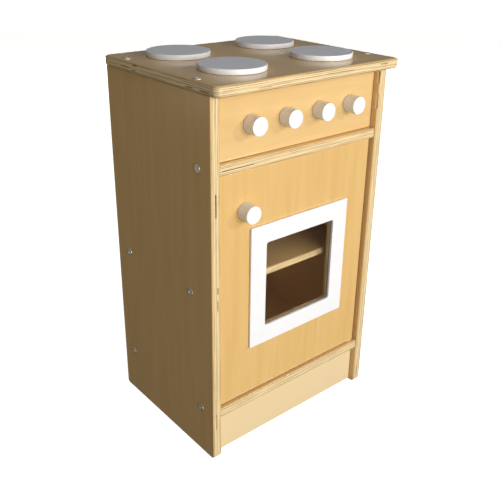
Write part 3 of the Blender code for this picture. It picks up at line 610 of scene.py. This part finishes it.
# %% Holes for the panel screws
SCREW_SHANK = 3 * MM
SCREW_RECESS = 1.2 * MM
SCREW_HEAD = 6.7 * MM
SCREW_KINDS = ("base_screw", "shelf_screw", "rail_screw", "worktop_screw")
SCREWED_BOARD = {"base": "bottom_shelf", "shelf": "middle_shelf", "rail": "front_rail"}
PANEL_SCREWS = sorted(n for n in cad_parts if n.startswith(SCREW_KINDS))


def middle_line(node, axis=None):
    """The two ends of a node's middle line, along its longest axis unless another is given."""
    low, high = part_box(node)
    if axis is None:
        axis = max(range(3), key=lambda i: high[i] - low[i])
    start = (low + high) / 2
    end = start.copy()
    start[axis], end[axis] = low[axis] - FIT, high[axis] + FIT
    return start, end


for node in PANEL_SCREWS:
    kind, side = node.split("_screw_")[0], node.split("_")[-1] + "_side_panel"
    outer, inner_board = ("worktop", side) if kind == "worktop" else (side, SCREWED_BOARD[kind])
    start, end = middle_line(node)
    outward = Z if kind == "worktop" else X * (1 if "right" in side else -1)
    axis = ALONG_Z if kind == "worktop" else ALONG_X
    board_low, board_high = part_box(outer)
    seat = end.copy()
    seat[axis] = (board_high if outward[axis] > 0 else board_low)[axis] - SCREW_RECESS * outward[axis]
    drill(boards[outer], start, end, SCREW_SHANK + FIT)
    drill(boards[inner_board], start, end, SCREW_SHANK + FIT)
    drill(boards[outer], seat, seat + outward * PAST, SCREW_HEAD + FIT, vertices=64)
print("drilled for", len(PANEL_SCREWS), "panel screws")

# %% [markdown]
# ### The other holes and the grooves
# Dowels are let into two boards, pins into the door, bushes into the boards above and below it. Every hole
# is drilled right where its fastener's node is. The back panel's groove is one long box cut out of each
# side panel, as a table saw would make it.

# %% Holes for dowels, pins, bushes and small screws, and the grooves
SMALL_SHANK = 2 * MM
CATCH_SHANK = 1.5 * MM
DOWEL_RADIUS = 4 * MM
PIN_RADIUS = 3 * MM
BUSH_RADIUS = 5 * MM
GROOVE_DEPTH = 7 * MM
HOLES = [("control_panel_dowel_left", ("control_panel", "left_side_panel"), DOWEL_RADIUS),
         ("control_panel_dowel_right", ("control_panel", "right_side_panel"), DOWEL_RADIUS),
         ("kick_board_dowel_left", ("kick_board", "left_side_panel"), DOWEL_RADIUS),
         ("kick_board_dowel_right", ("kick_board", "right_side_panel"), DOWEL_RADIUS),
         ("hinge_pin_lower", ("door_panel",), PIN_RADIUS),
         ("hinge_pin_upper", ("door_panel",), PIN_RADIUS),
         ("hinge_bush_lower", ("bottom_shelf",), BUSH_RADIUS),
         ("hinge_bush_upper", ("front_rail",), BUSH_RADIUS),
         ("catch_screw_left", ("front_rail",), CATCH_SHANK),
         ("catch_screw_right", ("front_rail",), CATCH_SHANK),
         ("strike_screw", ("door_panel",), CATCH_SHANK),
         ("door_knob_screw", ("door_panel",), SMALL_SHANK)]
HOLES += [(f"knob_screw_{number}", ("control_panel",), SMALL_SHANK) for number in range(1, 5)]

for node, through, radius in HOLES:
    start, end = middle_line(node, ALONG_Z if node.startswith("hinge_bush") else None)
    for board in through:
        drill(boards[board], start, end, radius + FIT)

back_low, back_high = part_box("back_panel")
for node, sign in (("left_side_panel", -1), ("right_side_panel", 1)):
    low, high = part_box(node)
    inner_face = high.x if sign < 0 else low.x
    reach = sorted((inner_face + sign * GROOVE_DEPTH, inner_face - sign * PAST))
    cut_away(boards[node], box_piece("groove", (reach[0], back_low.y - FIT, low.z - PAST),
                                     (reach[1], back_high.y + FIT, high.z + PAST)))
print("drilled for", len(HOLES), "other fasteners")

# %% [markdown]
# ### Gaps in the edges
# The gaps in the core are slots a millimetre or two wide, cut a few millimetres into the front and left
# edges with small rounded cutters. The cutter carries the dark painted-shade material, and the boolean passes
# it on to the slot's walls. The cut slot catches real shade from every side, and the painted shade on its
# walls darkens it further.

# %% Core gaps
GAP_DEPTH = 4 * MM
GAP_ROUND_END = 0.45       # share of a gap's width
# board, the edge it opens on, its middle on that edge, its length and width, and the way it runs
CORE_GAPS = [("left_side_panel", "front", (-0.1672, 0.4450), 0.036, 1.6 * MM, "upright"),
             ("left_side_panel", "front", (-0.1645, 0.3105), 0.011, 1.5 * MM, "upright"),
             ("left_side_panel", "front", (-0.1648, 0.2850), 0.018, 1.3 * MM, "upright"),
             ("left_side_panel", "front", (-0.1688, 0.0730), 0.030, 1.5 * MM, "upright"),
             ("right_side_panel", "front", (0.1600, 0.5840), 0.020, 2.4 * MM, "upright"),
             ("right_side_panel", "front", (0.1602, 0.5460), 0.024, 2.0 * MM, "upright"),
             ("right_side_panel", "front", (0.1668, 0.0220), 0.022, 1.6 * MM, "upright"),
             ("worktop", "front", (0.0450, 0.6096), 0.058, 0.9 * MM, "level"),
             ("worktop", "front", (0.1420, 0.6110), 0.016, 1.2 * MM, "level"),
             ("worktop", "front", (-0.1000, 0.6062), 0.024, 0.7 * MM, "level"),
             ("worktop", "left", (0.0550, 0.6134), 0.016, 1.5 * MM, "level"),
             ("worktop", "left", (0.0800, 0.6082), 0.026, 1.3 * MM, "level"),
             ("worktop", "left", (0.0560, 0.6058), 0.014, 1.2 * MM, "level"),
             ("worktop", "left", (-0.0850, 0.6060), 0.018, 1.3 * MM, "level"),
             ("worktop", "left", (-0.1180, 0.6058), 0.022, 1.2 * MM, "level"),
             ("front_rail", "front", (-0.1270, 0.4930), 0.058, 0.9 * MM, "level")]

for node, edge, (beside, height), length, width, run in CORE_GAPS:
    low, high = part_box(node)
    half = (length / 2, width / 2) if run == "level" else (width / 2, length / 2)
    if edge == "front":
        corners = ((beside - half[0], low.y - PAST, height - half[1]),
                   (beside + half[0], low.y + GAP_DEPTH, height + half[1]))
    else:
        corners = ((low.x - PAST, beside - half[0], height - half[1]),
                   (low.x + GAP_DEPTH, beside + half[0], height + half[1]))
    slot = box_piece("core_gap", *corners)
    round_corners(slot, Y if edge == "front" else X, width * GAP_ROUND_END, segments=3)
    # the slot's walls take the painted shade material
    slot.data.materials.append(CORE_GAP_SHADE)
    if not boards[node].data.materials:
        boards[node].data.materials.append(BIRCH)
    cut_away(boards[node], slot)

print("core gaps", len(CORE_GAPS))

# %% [markdown]
# ### Finishing the boards
# Last, each board gets its place in the wood: an attribute on its vertices with millimetres along the
# grain, millimetres across, and veneers from the middle. Each starts at another place, so no two boards
# look alike, and a second attribute makes some boards paler. Attributes travel with the mesh, so the
# pattern stays on the door when it swings.

# %% Finishing the boards
WOOD_START = 8041.0        # mm
WOOD_STEP = 1067.0         # mm from one board's place in the wood to the next
BOARD_TONES = {"left_side_panel": 0.1, "right_side_panel": 0.2, "worktop": 0.15, "control_panel": 0.2,
               "front_rail": 0.2, "bottom_shelf": 0.35, "middle_shelf": 0.2, "kick_board": 0.85,
               "back_panel": 0.3, "door_panel": 0.0}


def veneer_attribute(piece, low, high, grain, thick, tone, start):
    """Writes a board's own place in the wood, and its tone, to its vertices."""
    across = ALONG_X + ALONG_Y + ALONG_Z - grain - thick
    middle = (low + high) / 2
    veneers = (VENEERS - 2 * OUTER_SANDED) / (high - low)[thick]
    values = []
    for vertex in piece.data.vertices:
        values.extend((vertex.co[grain] / MM + start, vertex.co[across] / MM + start,
                       (vertex.co[thick] - middle[thick]) * veneers))
    piece.data.attributes.new("ply", "FLOAT_VECTOR", "POINT").data.foreach_set("vector", values)
    tones = piece.data.attributes.new("board_tone", "FLOAT", "POINT")
    tones.data.foreach_set("value", [tone] * len(piece.data.vertices))


for number, (node, tone) in enumerate(BOARD_TONES.items()):
    low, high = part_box(node)
    finish(boards[node], BIRCH, "door" if node == "door_panel" else "cabinet", node)
    veneer_attribute(boards[node], low, high, *GRAIN_AND_THICKNESS[node], tone,
                     WOOD_START + WOOD_STEP * number)
print("finished", len(boards), "boards")

# %% [markdown]
# ## Hob plates
# Each plate is a turned disc, glued down. Its upper rim is eased with a small radius that catches a bright
# line of light, and its underside is turned slightly hollow so that it sits on its rim. One is modelled
# at its place, and the other three are copies with their own meshes.

# %% Hob plates
def copy_piece(piece, name, matrix):
    """A copy with its own mesh, moved inside that mesh."""
    copied = bpy.data.objects.new(name, piece.data.copy())
    copied.data.transform(matrix)
    bpy.context.scene.collection.objects.link(copied)
    return copied


def node_middle(node):
    """The middle of a node's box."""
    low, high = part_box(node)
    return (low + high) / 2


HOB_EASE = 0.9 * MM
HOLLOW_RIM = 6 * MM
HOLLOW_SLOPE = 1.5 * MM
HOLLOW_DEPTH = 0.8 * MM

low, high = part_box("hob_plate_front_left")
middle = (low + high) / 2
hob_radius = (high.x - low.x) / 2
hob = round_piece("disc_hob_plate_front_left", (middle.x, middle.y, low.z), (middle.x, middle.y, high.z),
                  hob_radius, vertices=128)
edit(hob)
pick_faces(hob, lambda place, normal: normal.z < -0.9)
bpy.ops.mesh.inset(thickness=HOLLOW_RIM)
bpy.ops.mesh.inset(thickness=HOLLOW_SLOPE)
bpy.ops.transform.translate(value=(0, 0, HOLLOW_DEPTH))
deselect()
ease_edges(hob, HOB_EASE, segments=4, angle=60)

hobs = {"hob_plate_front_left": hob}
for node in ("hob_plate_front_right", "hob_plate_rear_left", "hob_plate_rear_right"):
    hobs[node] = copy_piece(hob, "disc_" + node, Matrix.Translation(node_middle(node) - middle))
for node, piece in hobs.items():
    finish(piece, WHITE, "cabinet", node)
print("hob plates", len(hobs), "radius", round(hob_radius, 4))

# %% [markdown]
# ## Knobs
# A knob is a length of 28 mm dowel, faced off flat and painted, with a blind hole for its screw. The four
# that turn and the one on the door are the same piece. The cylinder's back face is inset to the hole's
# size and pushed in, and then both rims are eased.

# %% Knobs
KNOB_EASE = 0.7 * MM
KNOB_HOLE_DEPTH = 12.3 * MM
RIM_SHARE = 0.99           # of the radius: what lies further out is the rim
KNOBS = {"control_knob_1": "knob_1", "control_knob_2": "knob_2", "control_knob_3": "knob_3",
         "control_knob_4": "knob_4", "door_knob": "door"}

low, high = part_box("control_knob_1")
middle = (low + high) / 2
knob_radius = (high.z - low.z) / 2
knob = round_piece("turned_control_knob_1", (middle.x, high.y, middle.z), (middle.x, low.y, middle.z),
                   knob_radius, vertices=96)
edit(knob)
pick_faces(knob, lambda place, normal: normal.y > 0.9)
bpy.ops.mesh.inset(thickness=knob_radius - SMALL_SHANK - FIT)
bpy.ops.mesh.extrude_region_move(TRANSFORM_OT_translate={"value": (0, -KNOB_HOLE_DEPTH, 0)})
pick_edges(knob, lambda place, along: (place.xz - middle.xz).length > knob_radius * RIM_SHARE
           and abs(along.y) < 0.1)
bpy.ops.mesh.bevel(offset=KNOB_EASE, segments=4, affect="EDGES")
deselect()

knobs = {"control_knob_1": knob}
for node in KNOBS:
    if node not in knobs:
        knobs[node] = copy_piece(knob, "turned_" + node, Matrix.Translation(node_middle(node) - middle))
for node, body in KNOBS.items():
    finish(knobs[node], WHITE, body, node)
print("knobs", len(knobs), "radius", round(knob_radius, 4))

# %% [markdown]
# ## Window frame and pane
# The frame is cut from thin board and glued over the pane. A box is inset on its front and back faces by
# the border's width, and the two inner faces are bridged, which opens it. Its outer corners stay nearly
# sharp, the opening's corners keep a router bit's radius, and all edges are eased. The pane is let through
# by the lamps (visible_shadow is off), because light through clear acrylic is slow to trace.

# %% Window frame and pane
FRAME_CORNER = 1 * MM
OPENING_CORNER = 4 * MM
FRAME_EASE = 0.6 * MM
PANE_EASE = 0.3 * MM

low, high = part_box("window_frame")
window_frame = box_piece("painted_window_frame", low, high)
edit(window_frame)
pick_faces(window_frame, lambda place, normal: abs(normal.y) > 0.9)
bpy.ops.mesh.inset(thickness=FRAME_BORDER)
bpy.ops.mesh.bridge_edge_loops()
deselect()
frame_middle = (low + high) / 2
opening_reach = (high.x - low.x) / 2 - FRAME_BORDER + NEAR
round_corners(window_frame, Y, FRAME_CORNER, segments=3,
              test=lambda middle: abs(middle.x - frame_middle.x) > opening_reach)
round_corners(window_frame, Y, OPENING_CORNER,
              test=lambda middle: abs(middle.x - frame_middle.x) < opening_reach)
ease_edges(window_frame, FRAME_EASE, angle=60)
finish(window_frame, WHITE, "door", "window_frame")

low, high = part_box("window_pane")
pane = box_piece("acrylic_window_pane", low, high)
round_corners(pane, Y, PANE_RADIUS)
ease_edges(pane, PANE_EASE, segments=2, angle=60)
finish(pane, ACRYLIC, "door", "window_pane")
pane.visible_shadow = False
print("window frame", len(window_frame.data.polygons), "pane", len(pane.data.polygons))

# %% [markdown]
# ## Panel screws
# These are furniture connector screws: a broad flat head with a hexagon socket on a plain shank. The head
# is a short cylinder with a softened rim. Its underside is inset and extruded down to make the shank, and
# the socket is a six-sided cutter. One is made upright at the origin, and copies are turned to all fourteen
# places.

# %% Panel screws
HEAD_HEIGHT = 1.8 * MM
HEAD_SEAT = -SCREW_RECESS + FIT       # under the head, from the board's face
HEAD_TOP = HEAD_SEAT + HEAD_HEIGHT
HEAD_EASE = 0.7 * MM
SHANK_LENGTH = 50 * MM
POINT_LENGTH = 1.8 * MM
SOCKET_RADIUS = 2.1 * MM
SOCKET_DEPTH = 1.0 * MM
SOCKET_EASE = 0.25 * MM
QUARTER = math.radians(90)
SPIN_STEP = math.radians(37)          # no two screws stop at the same turn

screw = round_piece("panel_screw", (0, 0, HEAD_SEAT), (0, 0, HEAD_TOP), SCREW_HEAD)
edit(screw)
pick_faces(screw, lambda place, normal: normal.z < -0.9)
bpy.ops.mesh.inset(thickness=SCREW_HEAD - SCREW_SHANK)
bpy.ops.mesh.extrude_region_move(TRANSFORM_OT_translate={"value": (0, 0, SCREW_SHANK - SHANK_LENGTH)})
bpy.ops.mesh.extrude_region_move(TRANSFORM_OT_translate={"value": (0, 0, -POINT_LENGTH)})
bpy.ops.transform.resize(value=(0.5, 0.5, 1))
pick_edges(screw, lambda place, along: place.z > HEAD_TOP - NEAR)
bpy.ops.mesh.bevel(offset=HEAD_EASE, segments=4, affect="EDGES")
deselect()
drill(screw, (0, 0, HEAD_TOP - SOCKET_DEPTH), (0, 0, HEAD_TOP + PAST), SOCKET_RADIUS, vertices=6)
edit(screw)
pick_edges(screw, lambda place, along: place.z > HEAD_TOP - NEAR and place.xy.length < SOCKET_RADIUS)
bpy.ops.mesh.bevel(offset=SOCKET_EASE, segments=2, affect="EDGES")
deselect()

for number, node in enumerate(PANEL_SCREWS):
    start, end = middle_line(node)
    low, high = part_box(node)
    if "worktop" in node:
        turn, face = Matrix.Identity(4), Vector((start.x, start.y, high.z - HEAD_TOP))
    elif "right" in node:
        turn, face = Matrix.Rotation(QUARTER, 4, "Y"), Vector((high.x - HEAD_TOP, start.y, start.z))
    else:
        turn, face = Matrix.Rotation(-QUARTER, 4, "Y"), Vector((low.x + HEAD_TOP, start.y, start.z))
    spin = Matrix.Rotation(SPIN_STEP * number, 4, "Z")
    placed = copy_piece(screw, "fitted_" + node, Matrix.Translation(face) @ turn @ spin)
    finish(placed, NICKEL, "cabinet", node)
bpy.data.objects.remove(screw)
print("panel screws", len(PANEL_SCREWS))

# %% [markdown]
# ## Small screws
# The catch, the strike and the door knob are held by pan-headed wood screws with a cross recess. A short
# cylinder gets a domed rim, its underside is inset and drawn out to a shank with a point, and two crossed
# boxes cut the recess. The two catch screws are the same piece, so the second is a copy.

# %% Small screws
DOME_SHARE = 0.7           # of the head's height
RECESS_REACH, RECESS_WIDTH = 0.6, 0.16                 # of the head's radius
RECESS_FLOOR = 0.45        # of the head's height
PAN_HEAD = 1.8 * MM
KNOB_SCREW_HEAD = 2.5 * MM


def pan_screw(name, length, head_radius, head_height, shank_radius):
    """A pan-headed screw at the origin, its head upwards, with a shank of the given length."""
    piece = round_piece(name, (0, 0, 0), (0, 0, head_height), head_radius, vertices=48)
    edit(piece)
    pick_faces(piece, lambda place, normal: normal.z < -0.9)
    bpy.ops.mesh.inset(thickness=head_radius - shank_radius)
    bpy.ops.mesh.extrude_region_move(TRANSFORM_OT_translate={"value": (0, 0, 2 * shank_radius - length)})
    bpy.ops.mesh.extrude_region_move(TRANSFORM_OT_translate={"value": (0, 0, -2 * shank_radius)})
    bpy.ops.transform.resize(value=(0.2, 0.2, 1))
    pick_edges(piece, lambda place, along: place.z > head_height - NEAR)
    bpy.ops.mesh.bevel(offset=head_height * DOME_SHARE, segments=6, affect="EDGES")
    deselect()
    floor_z, top_z = head_height * RECESS_FLOOR, head_height + PAST
    for reach, width in ((RECESS_REACH, RECESS_WIDTH), (RECESS_WIDTH, RECESS_REACH)):
        reach, width = reach * head_radius, width * head_radius
        cut_away(piece, box_piece("recess", (-reach, -width, floor_z), (reach, width, top_z)))
    return piece


PAN_SCREWS = [("catch_screw_left", "cabinet", PAN_HEAD, CATCH_SHANK, -Z),
              ("strike_screw", "door", PAN_HEAD, CATCH_SHANK, Y),
              ("door_knob_screw", "door", KNOB_SCREW_HEAD, SMALL_SHANK, Y)]
for node, body, head_height, shank_radius, facing in PAN_SCREWS:
    low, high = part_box(node)
    size, middle = high - low, (low + high) / 2
    along = ALONG_Z if facing.z else ALONG_Y
    driven = pan_screw("driven_" + node, size[along] - head_height, size.x / 2, head_height, shank_radius)
    middle[along] = (low[along] if facing.z else high[along]) - facing[along] * head_height
    turn = facing.to_track_quat("Z", "Y").to_matrix().to_4x4()
    driven.data.transform(Matrix.Translation(middle) @ turn)
    if node == "catch_screw_left":
        other = "catch_screw_right"
        shift = Matrix.Translation(node_middle(other) - node_middle(node))
        finish(copy_piece(driven, "driven_" + other, shift), ZINC, body, other)
    finish(driven, ZINC, body, node)
print("pan screws", len(PAN_SCREWS) + 1)

# %% [markdown]
# ## Catch
# The catch is a moulded case with a magnet between two steel plates let into its front. The case is eased
# like a moulding, notched beside the magnet, and drilled. The magnet is one block with two saw-thin
# grooves, and its outer layers take the steel finish.

# %% Catch
CASE_EASE = 0.8 * MM
NOTCH_DEPTH = 3.6 * MM
NOTCH_WALL = 3 * MM        # left beside the magnet
NOTCH_RADIUS = 1.5 * MM
POLE_PLATE = 1.5 * MM
POLE_GROOVE = 0.3 * MM
MAGNET_EASE = 0.25 * MM

low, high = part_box("catch_case")
magnet_low, magnet_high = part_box("catch_magnet")
case = box_piece("moulded_catch_case", low, high)
ease_edges(case, CASE_EASE, segments=4)
for left, right in ((low.x - PAST, magnet_low.x - NOTCH_WALL), (magnet_high.x + NOTCH_WALL, high.x + PAST)):
    notch = box_piece("notch", (left, low.y - PAST, low.z - PAST),
                      (right, low.y + NOTCH_DEPTH, high.z + PAST))
    round_corners(notch, Z, NOTCH_RADIUS, segments=4)
    cut_away(case, notch)
pocket_low, pocket_high = magnet_low - Vector((FIT, PAST, FIT)), magnet_high + Vector((FIT, FIT, FIT))
cut_away(case, box_piece("pocket", pocket_low, pocket_high))
for node in ("catch_screw_left", "catch_screw_right"):
    drill(case, *middle_line(node), CATCH_SHANK + FIT)
finish(case, BROWN_PLASTIC, "cabinet", "catch_case")

magnet = box_piece("magnet_between_pole_plates", magnet_low, magnet_high)
ease_edges(magnet, MAGNET_EASE, segments=2)
for height in (magnet_low.z + POLE_PLATE, magnet_high.z - POLE_PLATE):
    cut_away(magnet, box_piece("groove", (magnet_low.x - PAST, magnet_low.y - PAST, height - POLE_GROOVE / 2),
                               (magnet_high.x + PAST, magnet_low.y + POLE_PLATE, height + POLE_GROOVE / 2)))
magnet.data.materials.append(FERRITE)
magnet.data.materials.append(ZINC)
for polygon in magnet.data.polygons:
    from_centre = abs(polygon.center.z - (magnet_low.z + magnet_high.z) / 2)
    polygon.material_index = int(from_centre > (magnet_high.z - magnet_low.z) / 2 - POLE_PLATE)
finish(magnet, FERRITE, "cabinet", "catch_magnet")
print("catch", len(case.data.polygons), "magnet", len(magnet.data.polygons), "faces")

# %% [markdown]
# ### Strike
# The strike is punched from steel sheet: rounded corners, a burred edge broken by tumbling, and a shallow
# field coined into its face, made with two insets.

# %% Strike
STRIKE_CORNER = 2 * MM
STRIKE_BORDER = 1.6 * MM
COINED_SLOPE = 0.4 * MM
COINED_DEPTH = 0.2 * MM
STRIKE_EASE = 0.15 * MM

low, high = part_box("strike_plate")
strike = box_piece("pressed_strike_plate", low, high)
round_corners(strike, Y, STRIKE_CORNER, segments=6)
edit(strike)
pick_faces(strike, lambda place, normal: normal.y > 0.9)
bpy.ops.mesh.inset(thickness=STRIKE_BORDER)
bpy.ops.mesh.inset(thickness=COINED_SLOPE, depth=-COINED_DEPTH)
deselect()
ease_edges(strike, STRIKE_EASE, segments=2, angle=50)
drill(strike, *middle_line("strike_screw"), CATCH_SHANK + FIT)
finish(strike, ZINC, "door", "strike_plate")
print("strike", len(strike.data.polygons), "faces")

# %% [markdown]
# ## Small pieces that keep their shape
# The rest are simple turned or pressed pieces, mostly out of sight: their shape in the frame is already
# right. They only get their finish, by assigning it to their material slots.

# %% Small pieces
KEPT = [("knob_screw_", ZINC), ("knob_washer_", ZINC), ("hinge_pin_", ZINC), ("hinge_bush_", NYLON),
        ("control_panel_dowel", BEECH), ("kick_board_dowel", BEECH)]
for start_of_name, material in KEPT:
    for name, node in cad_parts.items():
        if name.startswith(start_of_name):
            node.data.materials.clear()
            node.data.materials.append(material)
print("kept", sum(name.startswith(tuple(k for k, m in KEPT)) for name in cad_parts), "nodes")

# %% [markdown]
# ## Floor and backdrop
# The floor is a sheet of pale paper, and a second sheet stands round it and curves up from it, as in a
# studio. They glow a little, in place of the lamps that a studio points at its backdrop. The paper only
# shows to the camera: it is left out of reflections and bounced light, so that the front lamp alone shapes
# the stove.

# %% Floor
FLOOR_RADIUS_M = 5.0
COVE_RADIUS = 2.0
WALL_HEIGHT = 9.0
FLOOR_GLOW = 0.9
WALL_GLOW = 1.0
PAPER_SCALE = 6.0          # clouds of about 17 cm
COVE_SHARE = 0.95          # how much of the cove the curve takes up


def paper_material(name, glow):
    """Matt white paper with a glow."""
    material, tree, shader = new_material(name, roughness=0.9)
    here = add(tree, "TexCoord").outputs["Object"]
    fibres = noise(tree, here, PAPER_SCALE, 4.0)
    tree.links.new(mix_colour(tree, fibres, srgb("#E6E6E4"), srgb("#EEEEEC")), shader.inputs["Base Color"])
    shader.inputs["Specular IOR Level"].default_value = 0.0
    shader.inputs["Emission Color"].default_value = srgb("#FFFFFF")
    shader.inputs["Emission Strength"].default_value = glow
    return material


UNSEEN_WAYS = ("visible_diffuse", "visible_glossy", "visible_transmission")

deselect()
bpy.ops.mesh.primitive_circle_add(vertices=96, radius=FLOOR_RADIUS_M, fill_type="NGON", location=(0, 0, 0))
floor = bpy.context.object
floor.name = "paper_floor"
floor.data.materials.append(paper_material("matt_white_paper_floor", FLOOR_GLOW))
for way in UNSEEN_WAYS:
    setattr(floor, way, False)

deselect()
bpy.ops.mesh.primitive_circle_add(vertices=96, radius=FLOOR_RADIUS_M, location=(0, 0, 0))
wall = bpy.context.object
wall.name = "paper_wall"
bpy.ops.object.mode_set(mode="EDIT")
bpy.ops.mesh.select_mode(type="EDGE")
bpy.ops.mesh.select_all(action="SELECT")
bpy.ops.mesh.extrude_region_move()
WIDEN = 1 + COVE_RADIUS / FLOOR_RADIUS_M
bpy.ops.transform.resize(value=(WIDEN, WIDEN, 1))
bpy.ops.mesh.extrude_region_move(TRANSFORM_OT_translate={"value": (0, 0, WALL_HEIGHT)})
pick_edges(wall, lambda place, along: place.z < NEAR and place.xy.length > FLOOR_RADIUS_M + COVE_RADIUS / 2
           and abs(along.dot(place.normalized())) < 0.5)
bpy.ops.mesh.bevel(offset=COVE_RADIUS * COVE_SHARE, segments=12, affect="EDGES")
deselect()
wall.select_set(True)
bpy.ops.object.shade_smooth()
wall.data.materials.append(paper_material("matt_white_paper_wall", WALL_GLOW))
for way in (*UNSEEN_WAYS, "visible_shadow"):
    setattr(wall, way, False)
print("floor", len(floor.data.polygons), "wall", len(wall.data.polygons), "faces")

# %% [markdown]
# ## Lamps
# A large soft lamp stands in front, a little to the left, so the front is bright while the left side and
# the top fall off. A small one from the right gives each knob a short shadow to its lower left. The others
# are faint: one overhead and a card behind put a cool sheen on the worktop, one shines on the screws from
# the left, and a low one behind lights the back and the right side. A dim sky fills the shade.

# %% Lamps
MIDDLE = (0, 0, 0.32)
ABOVE_MIDDLE = (0, 0, 0.6)
SKY_COLOUR = "#FFF6EA"
SKY_STRENGTH = 0.10
# name, place, aim, width and height in metres, watts, colour
LAMPS = [("front_lamp", (-0.20, -2.90, 0.85), MIDDLE, 2.2, 1.4, 89.0, "#FFFDF9"),
         ("right_lamp", (1.45, -2.10, 1.45), MIDDLE, 0.3, 0.3, 14.0, "#FFFAF0"),
         ("top_lamp", (-0.2, 0.1, 2.5), MIDDLE, 1.5, 1.5, 6.5, "#E6EEFF"),
         ("left_lamp", (-2.1, 1.4, 0.35), MIDDLE, 1.6, 0.8, 4.5, "#FFEFD8"),
         ("rear_lamp", (2.2, 2.7, 0.25), MIDDLE, 3.2, 0.7, 50.0, "#FFFDFA"),
         ("rear_card", (2.0, 2.6, 1.90), ABOVE_MIDDLE, 3.0, 1.6, 1.6, "#E6EEFF")]


def soft_lamp(name, place, target, width, height, watts, colour):
    """A rectangular soft box that points at a place."""
    lamp = bpy.data.lights.new(name, "AREA")
    lamp.shape = "RECTANGLE"
    lamp.size, lamp.size_y = width, height
    lamp.energy = watts
    lamp.color = srgb(colour)[:3]
    holder = bpy.data.objects.new(name, lamp)
    aim = Vector(target) - Vector(place)
    holder.matrix_world = Matrix.Translation(place) @ aim.to_track_quat("-Z", "Y").to_matrix().to_4x4()
    bpy.context.scene.collection.objects.link(holder)


for lamp_row in LAMPS:
    soft_lamp(*lamp_row)

world = bpy.data.worlds.new("dim_sky")
world.use_nodes = True
sky = world.node_tree.nodes["Background"].inputs
sky["Color"].default_value = srgb(SKY_COLOUR)
sky["Strength"].default_value = SKY_STRENGTH
bpy.context.scene.world = world
bpy.context.scene.view_settings.view_transform = "Standard"
print("lamps", [lamp_row[0] for lamp_row in LAMPS])
